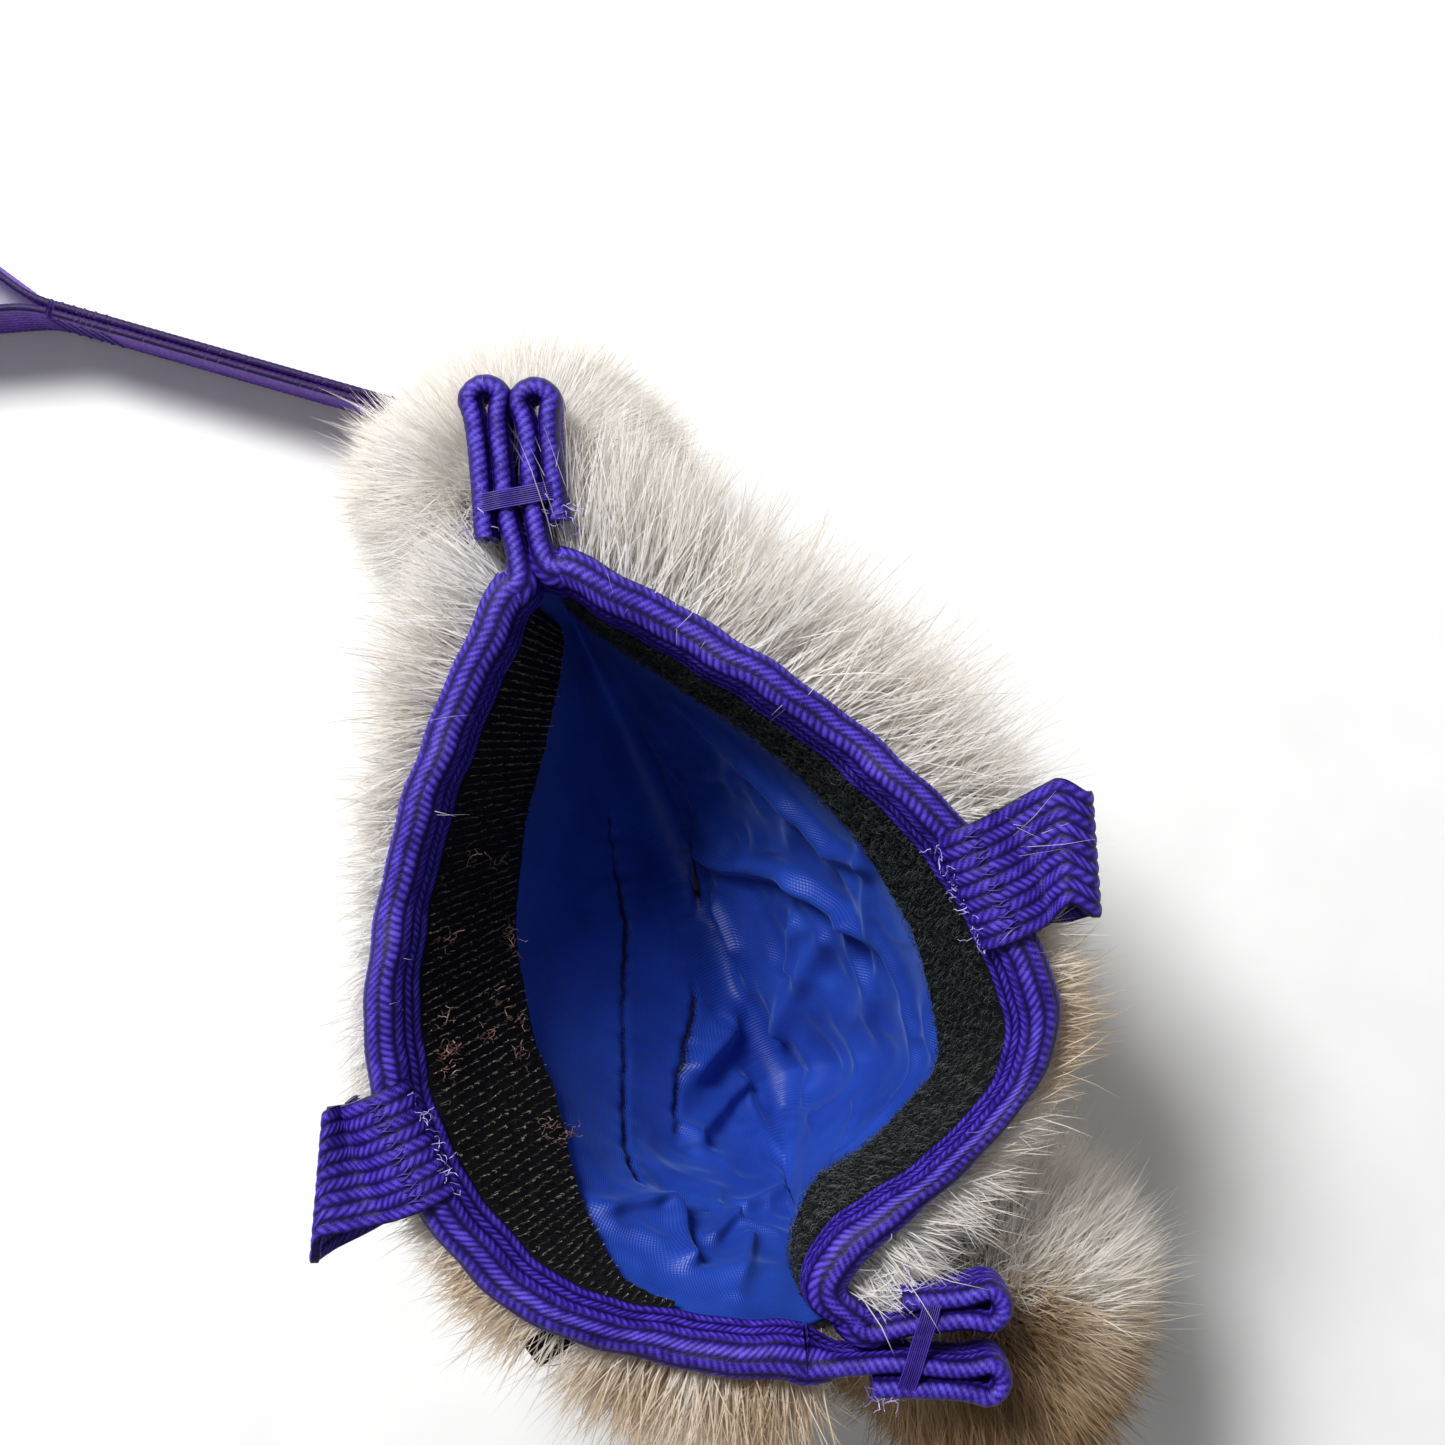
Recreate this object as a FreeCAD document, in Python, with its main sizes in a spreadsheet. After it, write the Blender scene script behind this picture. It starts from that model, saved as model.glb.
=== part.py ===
"""Fur treat pouch with a hook-and-loop mouth, two pull tabs and a webbing tug handle.

The pouch stands on its base with its mouth up. +Z is up, +Y runs along the mouth towards the end
that carries the handle, +X points to the lip that carries the loop tape. The origin is on the
table, under the middle of the bottom strip. All lengths are millimetres.

Each side wall is a stack of layers on one ruled surface, from a lip line above to a keel line
below. A station is a place along that surface, counted from 0 at the handle end; between CUT_TOP
and CUT_LOW the wall swings about the seam roll at its foot, and outside them it is sewn to the
rest of the pouch.
"""
import FreeCAD, Part
import math
import os
import Sketcher

Vector = FreeCAD.Vector
Rotation = FreeCAD.Rotation
UP = Vector(0, 0, 1)
ALONG = Vector(0, 1, 0)

# alias, value in millimetres or degrees, meaning
DIMENSIONS = [
    ("lip_height", 112.0, "height of the edge that the binding wraps"),
    ("roll_height", 14.0, "height of the seam rolls that the walls swing about"),
    ("roll_offset", 6.0, "distance of each seam roll from the middle plane"),
    ("roll_radius", 4.5, "radius of the seam rolls"),
    ("belly", 8.0, "how far a wall bows outwards between keel and lip"),
    ("bow_start", 1.0, "distance of the bow's upper end below the tape"),
    ("sewn_foot", 0.5, "foot of a sewn wall above its keel line"),
    ("base_overhang", 8.0, "bottom strip of the hide beyond each keel line"),
    ("base_trim", 0.5, "pressed off the bottom strip where it stands on the table"),
    ("table_span", 200.0, "side of the block of table that presses it flat"),
    ("base_lining_overhang", 3.0, "bottom strip of the lining beyond each keel line"),
    ("hide_thickness", 9.0, "skin with its dense underfur"),
    ("hide_edge", 2.6, "skin with its fur clipped, inside the binding"),
    ("hide_edge_depth", 11.0, "how far down the fur is clipped"),
    ("hide_taper", 5.0, "length over which the fur reaches its full thickness"),
    ("lining_thickness", 1.2, "nylon lining with its interlining"),
    ("hook_tape_width", 36.0, "hook tape showing below the binding"),
    ("loop_tape_width", 23.0, "loop tape showing below the binding"),
    ("tape_thickness", 2.0, "hook or loop tape with its pile"),
    ("webbing_width", 25.0, "width of all webbing"),
    ("webbing_thickness", 1.8, "thickness of one ply of webbing"),
    ("binding_outer", 5.2, "outside of the binding from the wall surface"),
    ("binding_inner", 4.0, "inside of the binding from the wall surface"),
    ("binding_depth", 9.5, "how far the binding reaches down the wall"),
    ("layer_gap", 0.2, "clearance between sewn layers"),
    ("moving_gap", 0.4, "clearance between pieces that move against each other"),
    ("tab_tip_radius", 5.5, "radius of the pull tab's outer fold"),
    ("tab_reach", 7.0, "distance between the pull tab's two fold centres"),
    ("tab_standoff", 2.4, "flex length between the binding and a pull tab"),
    ("tab_drop", 1.0, "flex line of a pull tab below the lip"),
    ("end_clearance", 8.0, "height of the sewn-shut ends above the table"),
    ("end_rounding", 19.0, "rounding of the sewn-shut ends"),
    ("top_end_length", 39.0, "end by the handle, beyond the mouth's corner"),
    ("top_end_width", 46.0, "end by the handle, across"),
    ("top_end_height", 87.0, "end by the handle, upwards"),
    ("low_end_length", 56.0, "other end, along its own direction"),
    ("low_end_width", 52.0, "other end, across"),
    ("low_end_height", 78.0, "other end, upwards"),
    ("ear_height", 13.0, "height of the folded binding ends"),
    ("ear_lift", 1.5, "top of the folded binding ends above the lip"),
    ("ear_width", 8.4, "width of one folded binding end"),
    ("ear_bulb", 4.6, "radius of the rounded fold at the end of an ear"),
    ("strap_clearance", 0.5, "height of the handle above the table"),
    ("strap_heading", 141.0, "direction in which the handle leaves, from +X"),
    ("anchor_length", 19.0, "webbing from the end seam to the first flex line"),
    ("slot_overrun", 20.0, "slot for the handle beyond the end of its anchor"),
    ("neck_length", 108.0, "length of the doubled neck of the handle"),
    ("flex_gap", 3.0, "bare length at a flex line of the handle"),
    ("loop_tip_radius", 34.0, "radius of the hand loop's far end"),
    ("loop_reach", 92.0, "distance between the hand loop's two fold centres"),
    ("stitch_height", 0.5, "height of thread above webbing"),
    ("bartack_width", 3.0, "width of a bar tack"),
    ("label_width", 11.0, "side label along the lip"),
    ("label_reach", 10.0, "side label outwards"),
    ("label_thickness", 0.8, "side label, folded"),
]

# Each wall, station by station: lip x, lip y, keel x, keel y, keel height over the seam rolls.
HOOK_WALL = [
    (-5, 83, -2.5, 77, 34),
    (-29, 62, -5, 50, 12),
    (-51, 36, -6, 30, 0),
    (-64.5, 12, -6, 12, 0),
    (-69.5, -11, -6, -11, 0),
    (-65.5, -36, -6, -36, 0),
    (-54, -55, -9, -46, 0),
    (-33, -71, -8, -55, 12),
    (-12, -82, -6, -63, 28),
]
LOOP_WALL = [
    (5, 83, 2.5, 77, 34),
    (24, 60, 5, 50, 12),
    (42, 34, 6, 30, 0),
    (53, 12, 6, 12, 0),
    (59, -8, 6, -8, 0),
    (59, -36, 6, -36, 0),
    (45, -51, 8, -45, 0),
    (22, -60, 6, -51, 14),
    (5, -64, 1, -57, 32),
    (-3, -71, -7, -70, 46),
    (0, -79, -4, -78, 56),
]
SIDES = {"hook": HOOK_WALL, "loop": LOOP_WALL}

# The bottom strip between the keels: y, left x, right x, rise over the seam rolls.
BOTTOM = [
    (70, -4, 4, 26),
    (50, -5, 5, 10),
    (32, -6, 6, 0),
    (-44, -8, 7, 0),
    (-51, -8, 6, 3),
    (-58, -5, 2, 15),
]

# Stations at which pieces start and end.
CUT_TOP = 3
CUT_LOW = 5
CUT_STEP = 0.05
TAB_STATION = 4
LABEL_STATION = 6.1
HIDE_TOP_END = 0.35
HIDE_LOW_END = 7.6
TAPE_LOW_STOP = 0.45
STATION_STEP = 0.25
BOW_SHARES = (1.0, 0.75, 0.5, 0.25)

# Where the closed ends and the handle start, and which way the low end points from +X.
TOP_END_START = (0, 85.5)
LOW_END_START = (8.2, -76.1)
LOW_END_HEADING = -53
HANDLE_START = (12.9, 117)
STITCH_SHARES = (0.08, 0.88)

# Folded binding ends: name, start x, start y, heading in degrees from +X, length to the bulb.
EARS = [
    ("top_ear_hook_fold", -4.7, 91.4, 72.5, 29.5),
    ("top_ear_loop_fold", 5.3, 90.4, 72.5, 26.0),
    ("low_ear_hook_fold", -3.0, -88.5, -26.0, 25.0),
    ("low_ear_loop_fold", 7.2, -80.2, -18.0, 19.0),
]
TOP_BARTACK_SHARE = 0.32
LOW_BARTACK_SHARE = 0.38


# ---------------------------------------------------------------- document and sheet

doc = FreeCAD.newDocument("treat_pouch")
sheet = doc.addObject("Spreadsheet::Sheet", "Dimensions")
for row, (alias, value, meaning) in enumerate(DIMENSIONS, start=1):
    sheet.set(f"A{row}", meaning)
    sheet.set(f"B{row}", str(value))
    sheet.setAlias(f"B{row}", alias)
doc.recompute()

sub_parts = []


def size(alias):
    """The value of one cell of the sheet."""
    return float(sheet.get(alias))


def cell(alias):
    """The expression that reads one cell of the sheet."""
    return f"Dimensions.{alias}"


def keep(item, label, placement=None):
    """Names an object as a sub-part and puts it in its place."""
    item.Label = label
    if placement is not None:
        item.Placement = placement
    sub_parts.append(item)
    return item


def placed(position, axis=UP, angle=0.0):
    return FreeCAD.Placement(position, Rotation(axis, angle))


# ---------------------------------------------------------------- wall layers

def spline_through(points):
    curve = Part.BSplineCurve()
    curve.interpolate(Points=points, Parameters=[float(n) for n in range(len(points))])
    return curve


def wall_lines(side):
    """The lip line and the keel line of one wall, both with stations as parameters."""
    lip = [Vector(x, y, size("lip_height")) for x, y, _, _, _ in SIDES[side]]
    keel = [Vector(x, y, size("roll_height") + rise) for _, _, x, y, rise in SIDES[side]]
    return spline_through(lip), spline_through(keel)


LINES = {side: wall_lines(side) for side in SIDES}


def wall_axes(side, station):
    """Lip point, keel point, direction up the wall and outward normal at one station."""
    lip_line, keel_line = LINES[side]
    lip = lip_line.value(station)
    keel = keel_line.value(station)
    rise = (lip - keel).normalize()
    level = Vector(lip.x - keel.x, lip.y - keel.y, 0).normalize()
    outward = (level * rise.z - UP * (rise.dot(level))).normalize()
    return lip, keel, rise, outward


def wall_point(side, station, edge, along, out):
    """A point of the wall. Along is measured down from the lip, up from the keel, or as a share
    of the bowed stretch, which runs from the keel to the foot of the tape.
    """
    lip, keel, rise, outward = wall_axes(side, station)
    length = (lip - keel).Length
    bowed = length - size("binding_depth") - size(f"{side}_tape_width") - size("bow_start")
    height = {"lip": length - along, "keel": along, "share": along * bowed}[edge]
    share = min(1.0, max(0.0, height / bowed))
    bow = size("belly") * bowed / size("lip_height") * 4 * share * (1 - share)
    return keel + rise * height + outward * (out + bow)


def stations(first, last):
    steps = max(1, round(abs(last - first) / STATION_STEP))
    return [first + (last - first) * n / steps for n in range(steps + 1)]


def wall_layer(label, side, first, last, profile):
    """One layer of a wall, as a ruled solid through its profile at each station."""
    wires = []
    for station in stations(first, last):
        points = [wall_point(side, station, *corner) for corner in profile]
        wires.append(Part.makePolygon(points + points[:1]))
    layer = doc.addObject("Part::Feature", label)
    layer.Shape = Part.makeLoft(wires, True, True)
    return keep(layer, label)


def bowed_face(out):
    """The bowed stretch of a wall face, from lip to keel."""
    return [("share", share, out) for share in BOW_SHARES]


def hide_profile(foot):
    edge, full = size("hide_edge"), size("hide_thickness")
    clipped = size("hide_edge_depth")
    top = size("webbing_thickness")
    return [
        ("lip", top, 0.0), ("lip", top, edge),
        ("lip", clipped, edge), ("lip", clipped + size("hide_taper"), full),
        *bowed_face(full), ("keel", foot, full), ("keel", foot, 0.0), *reversed(bowed_face(0.0)),
    ]


def lining_profile(foot):
    near = -size("layer_gap")
    far = near - size("lining_thickness")
    top = size("webbing_thickness")
    return [
        ("lip", top, near), ("lip", top, far),
        *bowed_face(far), ("keel", foot, far), ("keel", foot, near), *reversed(bowed_face(near)),
    ]


def tape_profile(side):
    near = -2 * size("layer_gap") - size("lining_thickness")
    far = near - size("tape_thickness")
    top = size("binding_depth") + size("layer_gap")
    low = top + size(f"{side}_tape_width")
    return [("lip", top, near), ("lip", top, far), ("lip", low, far), ("lip", low, near)]


def binding_profile():
    """A strip of webbing folded over the lip, as an upside-down U."""
    outer, inner = size("binding_outer"), -size("binding_inner")
    outer_leg = size("hide_edge") + size("layer_gap")
    inner_leg = -2 * size("layer_gap") - size("lining_thickness")
    top = -size("webbing_thickness")
    fold = size("webbing_thickness") - size("layer_gap")
    low = size("binding_depth")
    return [
        ("lip", low, outer), ("lip", top, outer), ("lip", top, inner), ("lip", low, inner),
        ("lip", low, inner_leg), ("lip", fold, inner_leg),
        ("lip", fold, outer_leg), ("lip", low, outer_leg),
    ]


def build_walls():
    swing_foot = size("roll_radius") + size("moving_gap")
    sewn_foot = size("sewn_foot")
    for side in SIDES:
        end = len(SIDES[side]) - 1
        runs = [
            ("top", CUT_TOP - CUT_STEP, 0.0, sewn_foot),
            ("mid", CUT_TOP, CUT_LOW, swing_foot),
            ("low", CUT_LOW + CUT_STEP, end, sewn_foot),
        ]
        for run, first, last, foot in runs:
            hide_last = {"top": HIDE_TOP_END, "mid": last, "low": HIDE_LOW_END}[run]
            tape_last = last if run != "low" else end - TAPE_LOW_STOP
            wall_layer(f"{side}_hide_{run}", side, first, hide_last, hide_profile(foot))
            wall_layer(f"{side}_lining_{run}", side, first, tape_last, lining_profile(foot))
            wall_layer(f"{side}_tape_{run}", side, first, tape_last, tape_profile(side))
            wall_layer(f"{side}_binding_{run}", side, first, last, binding_profile())


# ---------------------------------------------------------------- bottom

def bottom_strip(label, floor_drop, top_drop, overhang):
    """A strip under both keel lines, between two depths below them."""
    wires = []
    for y, left, right, rise in BOTTOM:
        level = size("roll_height") + rise
        low, high = level - floor_drop, level - top_drop
        points = [
            Vector(left - overhang, y, low), Vector(right + overhang, y, low),
            Vector(right + overhang, y, high), Vector(left - overhang, y, high),
        ]
        wires.append(Part.makePolygon(points + points[:1]))
    strip = doc.addObject("Part::Feature", label)
    strip.Shape = Part.makeLoft(wires, True, True)
    return strip


def seam_roll(label, side_sign):
    """The rolled seam allowance at the foot of a wall, on the line that the wall swings about."""
    top, low = HOOK_WALL[CUT_TOP][1], HOOK_WALL[CUT_LOW][1]
    roll = doc.addObject("Part::Cylinder", label)
    roll.setExpression("Radius", cell("roll_radius"))
    roll.Height = top - low
    start = Vector(side_sign * size("roll_offset"), low, size("roll_height"))
    return keep(roll, label, FreeCAD.Placement(start, Rotation(UP, ALONG)))


def build_bottom():
    base_top = size("roll_height") - size("roll_radius") - 2 * size("layer_gap")
    base_top -= size("lining_thickness")
    drop = size("roll_height") - base_top
    floor_drop = size("roll_height") + size("base_trim")
    bulk = bottom_strip("base_bulk", floor_drop, drop, size("base_overhang"))
    span = size("table_span")
    table = box("table", *[cell("table_span")] * 3, placed(Vector(-span / 2, 0, -span)))
    base = doc.addObject("Part::Cut", "base")
    base.Base, base.Tool = bulk, table
    keep(base, "base_hide")
    lining_drop = drop - size("layer_gap")
    lining_top = lining_drop - size("lining_thickness")
    overhang = size("base_lining_overhang")
    keep(bottom_strip("base_lining_strip", lining_drop, lining_top, overhang), "base_lining")
    seam_roll("hook_seam_roll", -1)
    seam_roll("loop_seam_roll", 1)


# ---------------------------------------------------------------- closed ends of the pouch

def strap_frame(distance, height=None):
    """A place on the handle's line, with local X along the strap and local Y across it."""
    heading = math.radians(size("strap_heading"))
    root = Vector(*HANDLE_START, size("strap_clearance") if height is None else height)
    forward = Vector(math.cos(heading), math.sin(heading), 0)
    return placed(root + forward * distance, UP, size("strap_heading"))


def box(name, length, width, height, placement):
    """A box whose sizes are sheet expressions, centred across its width."""
    item = doc.addObject("Part::Box", name)
    item.setExpression("Length", length)
    item.setExpression("Width", width)
    item.setExpression("Height", height)
    item.recompute()
    centred = placement.multiply(placed(Vector(0, -item.Width.Value / 2, 0)))
    item.Placement = centred
    return item


def rounded_block(name, alias, placement, flat_back):
    """A padded block with rounded edges, except round its back face where that stays flat."""
    sizes = [cell(f"{alias}_{side}") for side in ("length", "width", "height")]
    block = box(name, *sizes, placement)
    back = placement.inverse()
    edges = []
    for index, edge in enumerate(block.Shape.Edges, start=1):
        on_back = all(back.multVec(corner.Point).x < 0.1 for corner in edge.Vertexes)
        if not (flat_back and on_back):
            edges.append((index, size("end_rounding"), size("end_rounding")))
    rounded = doc.addObject("Part::Fillet", f"{name}_rounded")
    rounded.Base = block
    rounded.Edges = edges
    return rounded


def build_ends():
    """The sewn-shut ends beyond the mouth's corners, where the pile closes over the seams."""
    top_place = placed(Vector(*TOP_END_START, size("end_clearance")), UP, 90)
    bulk = rounded_block("top_end_bulk", "top_end", top_place, flat_back=True)
    slot = box(
        "anchor_slot",
        f"{cell('anchor_length')} + {cell('slot_overrun')}",
        f"2 * {cell('webbing_thickness')} + 4 * {cell('moving_gap')}",
        f"{cell('webbing_width')} + 2 * {cell('moving_gap')}",
        strap_frame(-size("moving_gap"), size("strap_clearance") - size("moving_gap")),
    )
    top_end = doc.addObject("Part::Cut", "top_end")
    top_end.Base, top_end.Tool = bulk, slot
    keep(top_end, "top_end_hide")

    low_place = placed(Vector(*LOW_END_START, size("end_clearance")), UP, LOW_END_HEADING)
    keep(rounded_block("low_end_bulk", "low_end", low_place, flat_back=False), "low_end_hide")


# ---------------------------------------------------------------- ears, label and bar tacks

def ear_fold(label, x, y, heading, length):
    """A binding end folded back on itself: a straight arm with a rounded bulb."""
    low = size("lip_height") + size("ear_lift") - size("ear_height")
    base = placed(Vector(x, y, low), UP, heading)
    arm = box(f"{label}_arm", str(length), cell("ear_width"), cell("ear_height"), base)
    bulb = doc.addObject("Part::Cylinder", f"{label}_bulb")
    bulb.setExpression("Radius", cell("ear_bulb"))
    bulb.setExpression("Height", cell("ear_height"))
    bulb.Placement = base.multiply(placed(Vector(length, 0, 0)))
    fold = doc.addObject("Part::Fuse", f"{label}_fold")
    fold.Base, fold.Tool = arm, bulb
    return keep(fold, label)


def ear_bartack(label, first, second, share):
    """Thread over both folds of an ear, across the place where they are sewn together."""
    ends = []
    for _, x, y, heading, length in (first, second):
        turn = math.radians(heading)
        ends.append(Vector(x + math.cos(turn) * length * share, y + math.sin(turn) * length * share, 0))
    span = ends[1] - ends[0]
    turn = math.degrees(math.atan2(span.y, span.x))
    top = size("lip_height") + size("ear_lift") + size("layer_gap")
    reach = size("ear_width") / 2
    start = placed(Vector(ends[0].x, ends[0].y, top), UP, turn).multiply(placed(Vector(-reach, 0, 0)))
    length = str(span.Length + 2 * reach)
    return keep(box(label, length, cell("bartack_width"), cell("stitch_height"), start), label)


def side_label():
    """A small blank label caught under the binding of the hook lip."""
    lip, _, rise, outward = wall_axes("hook", LABEL_STATION)
    drop = size("binding_depth") + size("layer_gap") + size("label_thickness")
    start = lip - rise * drop + outward * (size("binding_outer") + size("moving_gap"))
    place = FreeCAD.Placement(start, Rotation(outward, rise.cross(outward), rise, "ZXY"))
    label = box("label", cell("label_reach"), cell("label_width"), cell("label_thickness"), place)
    keep(label, "side_label")


def build_ears():
    for ear in EARS:
        ear_fold(*ear)
    ear_bartack("top_ear_bartack", EARS[0], EARS[1], TOP_BARTACK_SHARE)
    ear_bartack("low_ear_bartack", EARS[2], EARS[3], LOW_BARTACK_SHARE)
    side_label()


# ---------------------------------------------------------------- webbing rings

def belt(sketch, root_radius, tip_radius, reach, name):
    """A closed belt round a small circle at the sketch's origin and a larger one at its reach."""
    first = sketch.GeometryCount
    small, large, span = (size_of(expression) for expression in (root_radius, tip_radius, reach))
    lean = math.asin((large - small) / span)
    turn = math.pi / 2 + lean
    near, far = Vector(0, 0, 0), Vector(span, 0, 0)
    upper = Vector(math.cos(turn), math.sin(turn), 0)
    lower = Vector(math.cos(turn), -math.sin(turn), 0)
    axis = Vector(0, 0, 1)
    sketch.addGeometry(Part.ArcOfCircle(Part.Circle(near, axis, small), turn, 2 * math.pi - turn))
    sketch.addGeometry(Part.ArcOfCircle(Part.Circle(far, axis, large), -turn, turn))
    sketch.addGeometry(Part.LineSegment(near + upper * small, far + upper * large))
    sketch.addGeometry(Part.LineSegment(near + lower * small, far + lower * large))
    root, tip, over, under = first, first + 1, first + 2, first + 3
    for arc, arc_end, line, line_end in ((root, 1, over, 1), (root, 2, under, 1),
                                         (tip, 2, over, 2), (tip, 1, under, 2)):
        sketch.addConstraint(Sketcher.Constraint("Tangent", arc, arc_end, line, line_end))
    sketch.addConstraint(Sketcher.Constraint("Coincident", root, 3, -1, 1))
    sketch.addConstraint(Sketcher.Constraint("PointOnObject", tip, 3, -1))
    bound = (("root", root, small, root_radius), ("tip", tip, large, tip_radius))
    for part, arc, value, expression in bound:
        index = sketch.addConstraint(Sketcher.Constraint("Radius", arc, value))
        sketch.renameConstraint(index, f"{name}_{part}")
        sketch.setExpression(f"Constraints.{name}_{part}", expression)
    index = sketch.addConstraint(Sketcher.Constraint("DistanceX", root, 3, tip, 3, span))
    sketch.renameConstraint(index, f"{name}_reach")
    sketch.setExpression(f"Constraints.{name}_reach", reach)


def size_of(expression):
    """The value of a sum or difference of two sheet cells, or of one cell."""
    for sign in (" + ", " - "):
        if sign in expression:
            left, right = expression.split(sign)
            return size_of(left) + (1 if sign == " + " else -1) * size_of(right)
    if expression.startswith("Dimensions."):
        return size(expression.split(".")[1])
    return float(expression)


def webbing_ring(label, tip_radius, reach, placement):
    """Webbing folded into a flat teardrop loop: its outline lies in local XY, its width along Z."""
    body = doc.addObject("PartDesign::Body", label)
    sketch = body.newObject("Sketcher::SketchObject", f"{label}_outline")
    origin = body.Origin.OriginFeatures
    sketch.AttachmentSupport = [(next(p for p in origin if p.Role == "XY_Plane"), "")]
    sketch.MapMode = "FlatFace"
    web = cell("webbing_thickness")
    root = f"{web} + {cell('layer_gap')}"
    belt(sketch, root, tip_radius, reach, "outer")
    belt(sketch, cell("layer_gap"), f"{tip_radius} - {web}", reach, "inner")
    pad = body.newObject("PartDesign::Pad", f"{label}_pad")
    pad.Profile = sketch
    pad.setExpression("Length", cell("webbing_width"))
    body.Tip = pad
    return keep(body, label, placement)


def tab_pivot(side):
    """The flex line of a pull tab, just outside the binding."""
    lip, _, _, outward = wall_axes(side, TAB_STATION)
    root = size("webbing_thickness") + size("layer_gap")
    sign = math.copysign(1, outward.x)
    reach = size("binding_outer") + size("tab_standoff") + root
    return Vector(lip.x + sign * reach, lip.y, size("lip_height") - size("tab_drop"))


def build_tab(side):
    """A pull tab: a loop of webbing outside the lip, and its sewn end over the binding."""
    lip, _, rise, outward = wall_axes(side, TAB_STATION)
    half = size("webbing_width") / 2
    # Local X of the ring points away from the mouth and local Z along the lip.
    if outward.x < 0:
        turn = Rotation(Vector(-1, 0, 0), Vector(0, 0, 1), Vector(0, 1, 0), "ZYX")
    else:
        turn = Rotation(Vector(1, 0, 0), Vector(0, 0, 1), Vector(0, -1, 0), "ZYX")
    across = turn.multVec(UP)
    ring_place = FreeCAD.Placement(tab_pivot(side) - across * half, turn)
    webbing_ring(f"{side}_tab", cell("tab_tip_radius"), cell("tab_reach"), ring_place)

    patch = doc.addObject("Part::Box", f"{side}_patch")
    patch.setExpression("Length", f"{cell('binding_outer')} + {cell('binding_inner')}")
    patch.setExpression("Width", cell("webbing_width"))
    patch.setExpression("Height", cell("webbing_thickness"))
    frame = Rotation(outward, rise.cross(outward), rise, "ZXY")
    lift = size("webbing_thickness") + 2 * size("moving_gap")
    corner = lip + rise * lift - outward * size("binding_inner") - rise.cross(outward) * half
    keep(patch, f"{side}_tab_anchor", FreeCAD.Placement(corner, frame))


# ---------------------------------------------------------------- handle

def build_handle():
    """A webbing handle standing on its edge: sewn anchor, doubled neck and hand loop."""
    web = cell("webbing_thickness")
    double = f"2 * {web} + {cell('layer_gap')}"
    anchor = box("anchor", cell("anchor_length"), double, cell("webbing_width"), strap_frame(0))
    keep(anchor, "handle_anchor")

    neck_start = size("anchor_length") + size("flex_gap")
    ply_shift = (size("webbing_thickness") + size("layer_gap")) / 2
    for name, sign in (("neck_ply_left", 1), ("neck_ply_right", -1)):
        place = strap_frame(neck_start).multiply(placed(Vector(0, sign * ply_shift, 0)))
        keep(box(name, cell("neck_length"), web, cell("webbing_width"), place), name)

    # Thread rows stand proud of both faces of the neck, in two groups.
    face = size("webbing_thickness") + size("layer_gap") * 1.5 + size("stitch_height") / 2
    rows = []
    for sign in (1, -1):
        for share in STITCH_SHARES:
            start = neck_start + size("neck_length") * share
            lift = size("strap_clearance") + size("bartack_width")
            place = strap_frame(start, lift).multiply(placed(Vector(0, sign * face, 0)))
            height = f"{cell('webbing_width')} - 2 * {cell('bartack_width')}"
            name = f"stitch_{len(rows)}"
            rows.append(box(name, cell("bartack_width"), cell("stitch_height"), height, place))
    stitching = doc.addObject("Part::Compound", "stitching")
    stitching.Links = rows
    keep(stitching, "neck_stitching")

    root = size("webbing_thickness") + size("layer_gap")
    ring_start = neck_start + size("neck_length") + size("flex_gap") + root
    webbing_ring("hand_loop_webbing", cell("loop_tip_radius"), cell("loop_reach"), strap_frame(ring_start))


# ---------------------------------------------------------------- build, test and export

def check_document():
    doc.recompute()
    for item in doc.Objects:
        if {"Invalid", "Error"} & set(item.State):
            raise RuntimeError(f"{item.Label} did not compute: {item.State}")
    for item in sub_parts:
        if item.Shape.isNull() or not item.Shape.isValid():
            raise RuntimeError(f"{item.Label} has no valid shape")
        if item.Shape.Volume <= 0:
            raise RuntimeError(f"{item.Label} has no volume")


def export_parts():
    os.makedirs("parts", exist_ok=True)
    for item in sub_parts:
        item.Shape.exportStep(f"parts/{item.Label}.step")
        print(f"{item.Label:24s} {item.Shape.Volume / 1000:8.2f} cm3")


def print_pivots():
    first = size("anchor_length") + size("flex_gap") / 2
    second = first + size("neck_length") + size("flex_gap")
    pivots = [(f"{side} tab", tab_pivot(side)) for side in SIDES]
    pivots += [("handle neck", strap_frame(first).Base), ("hand loop", strap_frame(second).Base)]
    for name, point in pivots:
        print(f"{name:12s} x {point.x:9.4f} y {point.y:9.4f}")


build_walls()
build_bottom()
build_ends()
build_ears()
build_tab("hook")
build_tab("loop")
build_handle()
check_document()
export_parts()
print_pivots()
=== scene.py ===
import math

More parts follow.
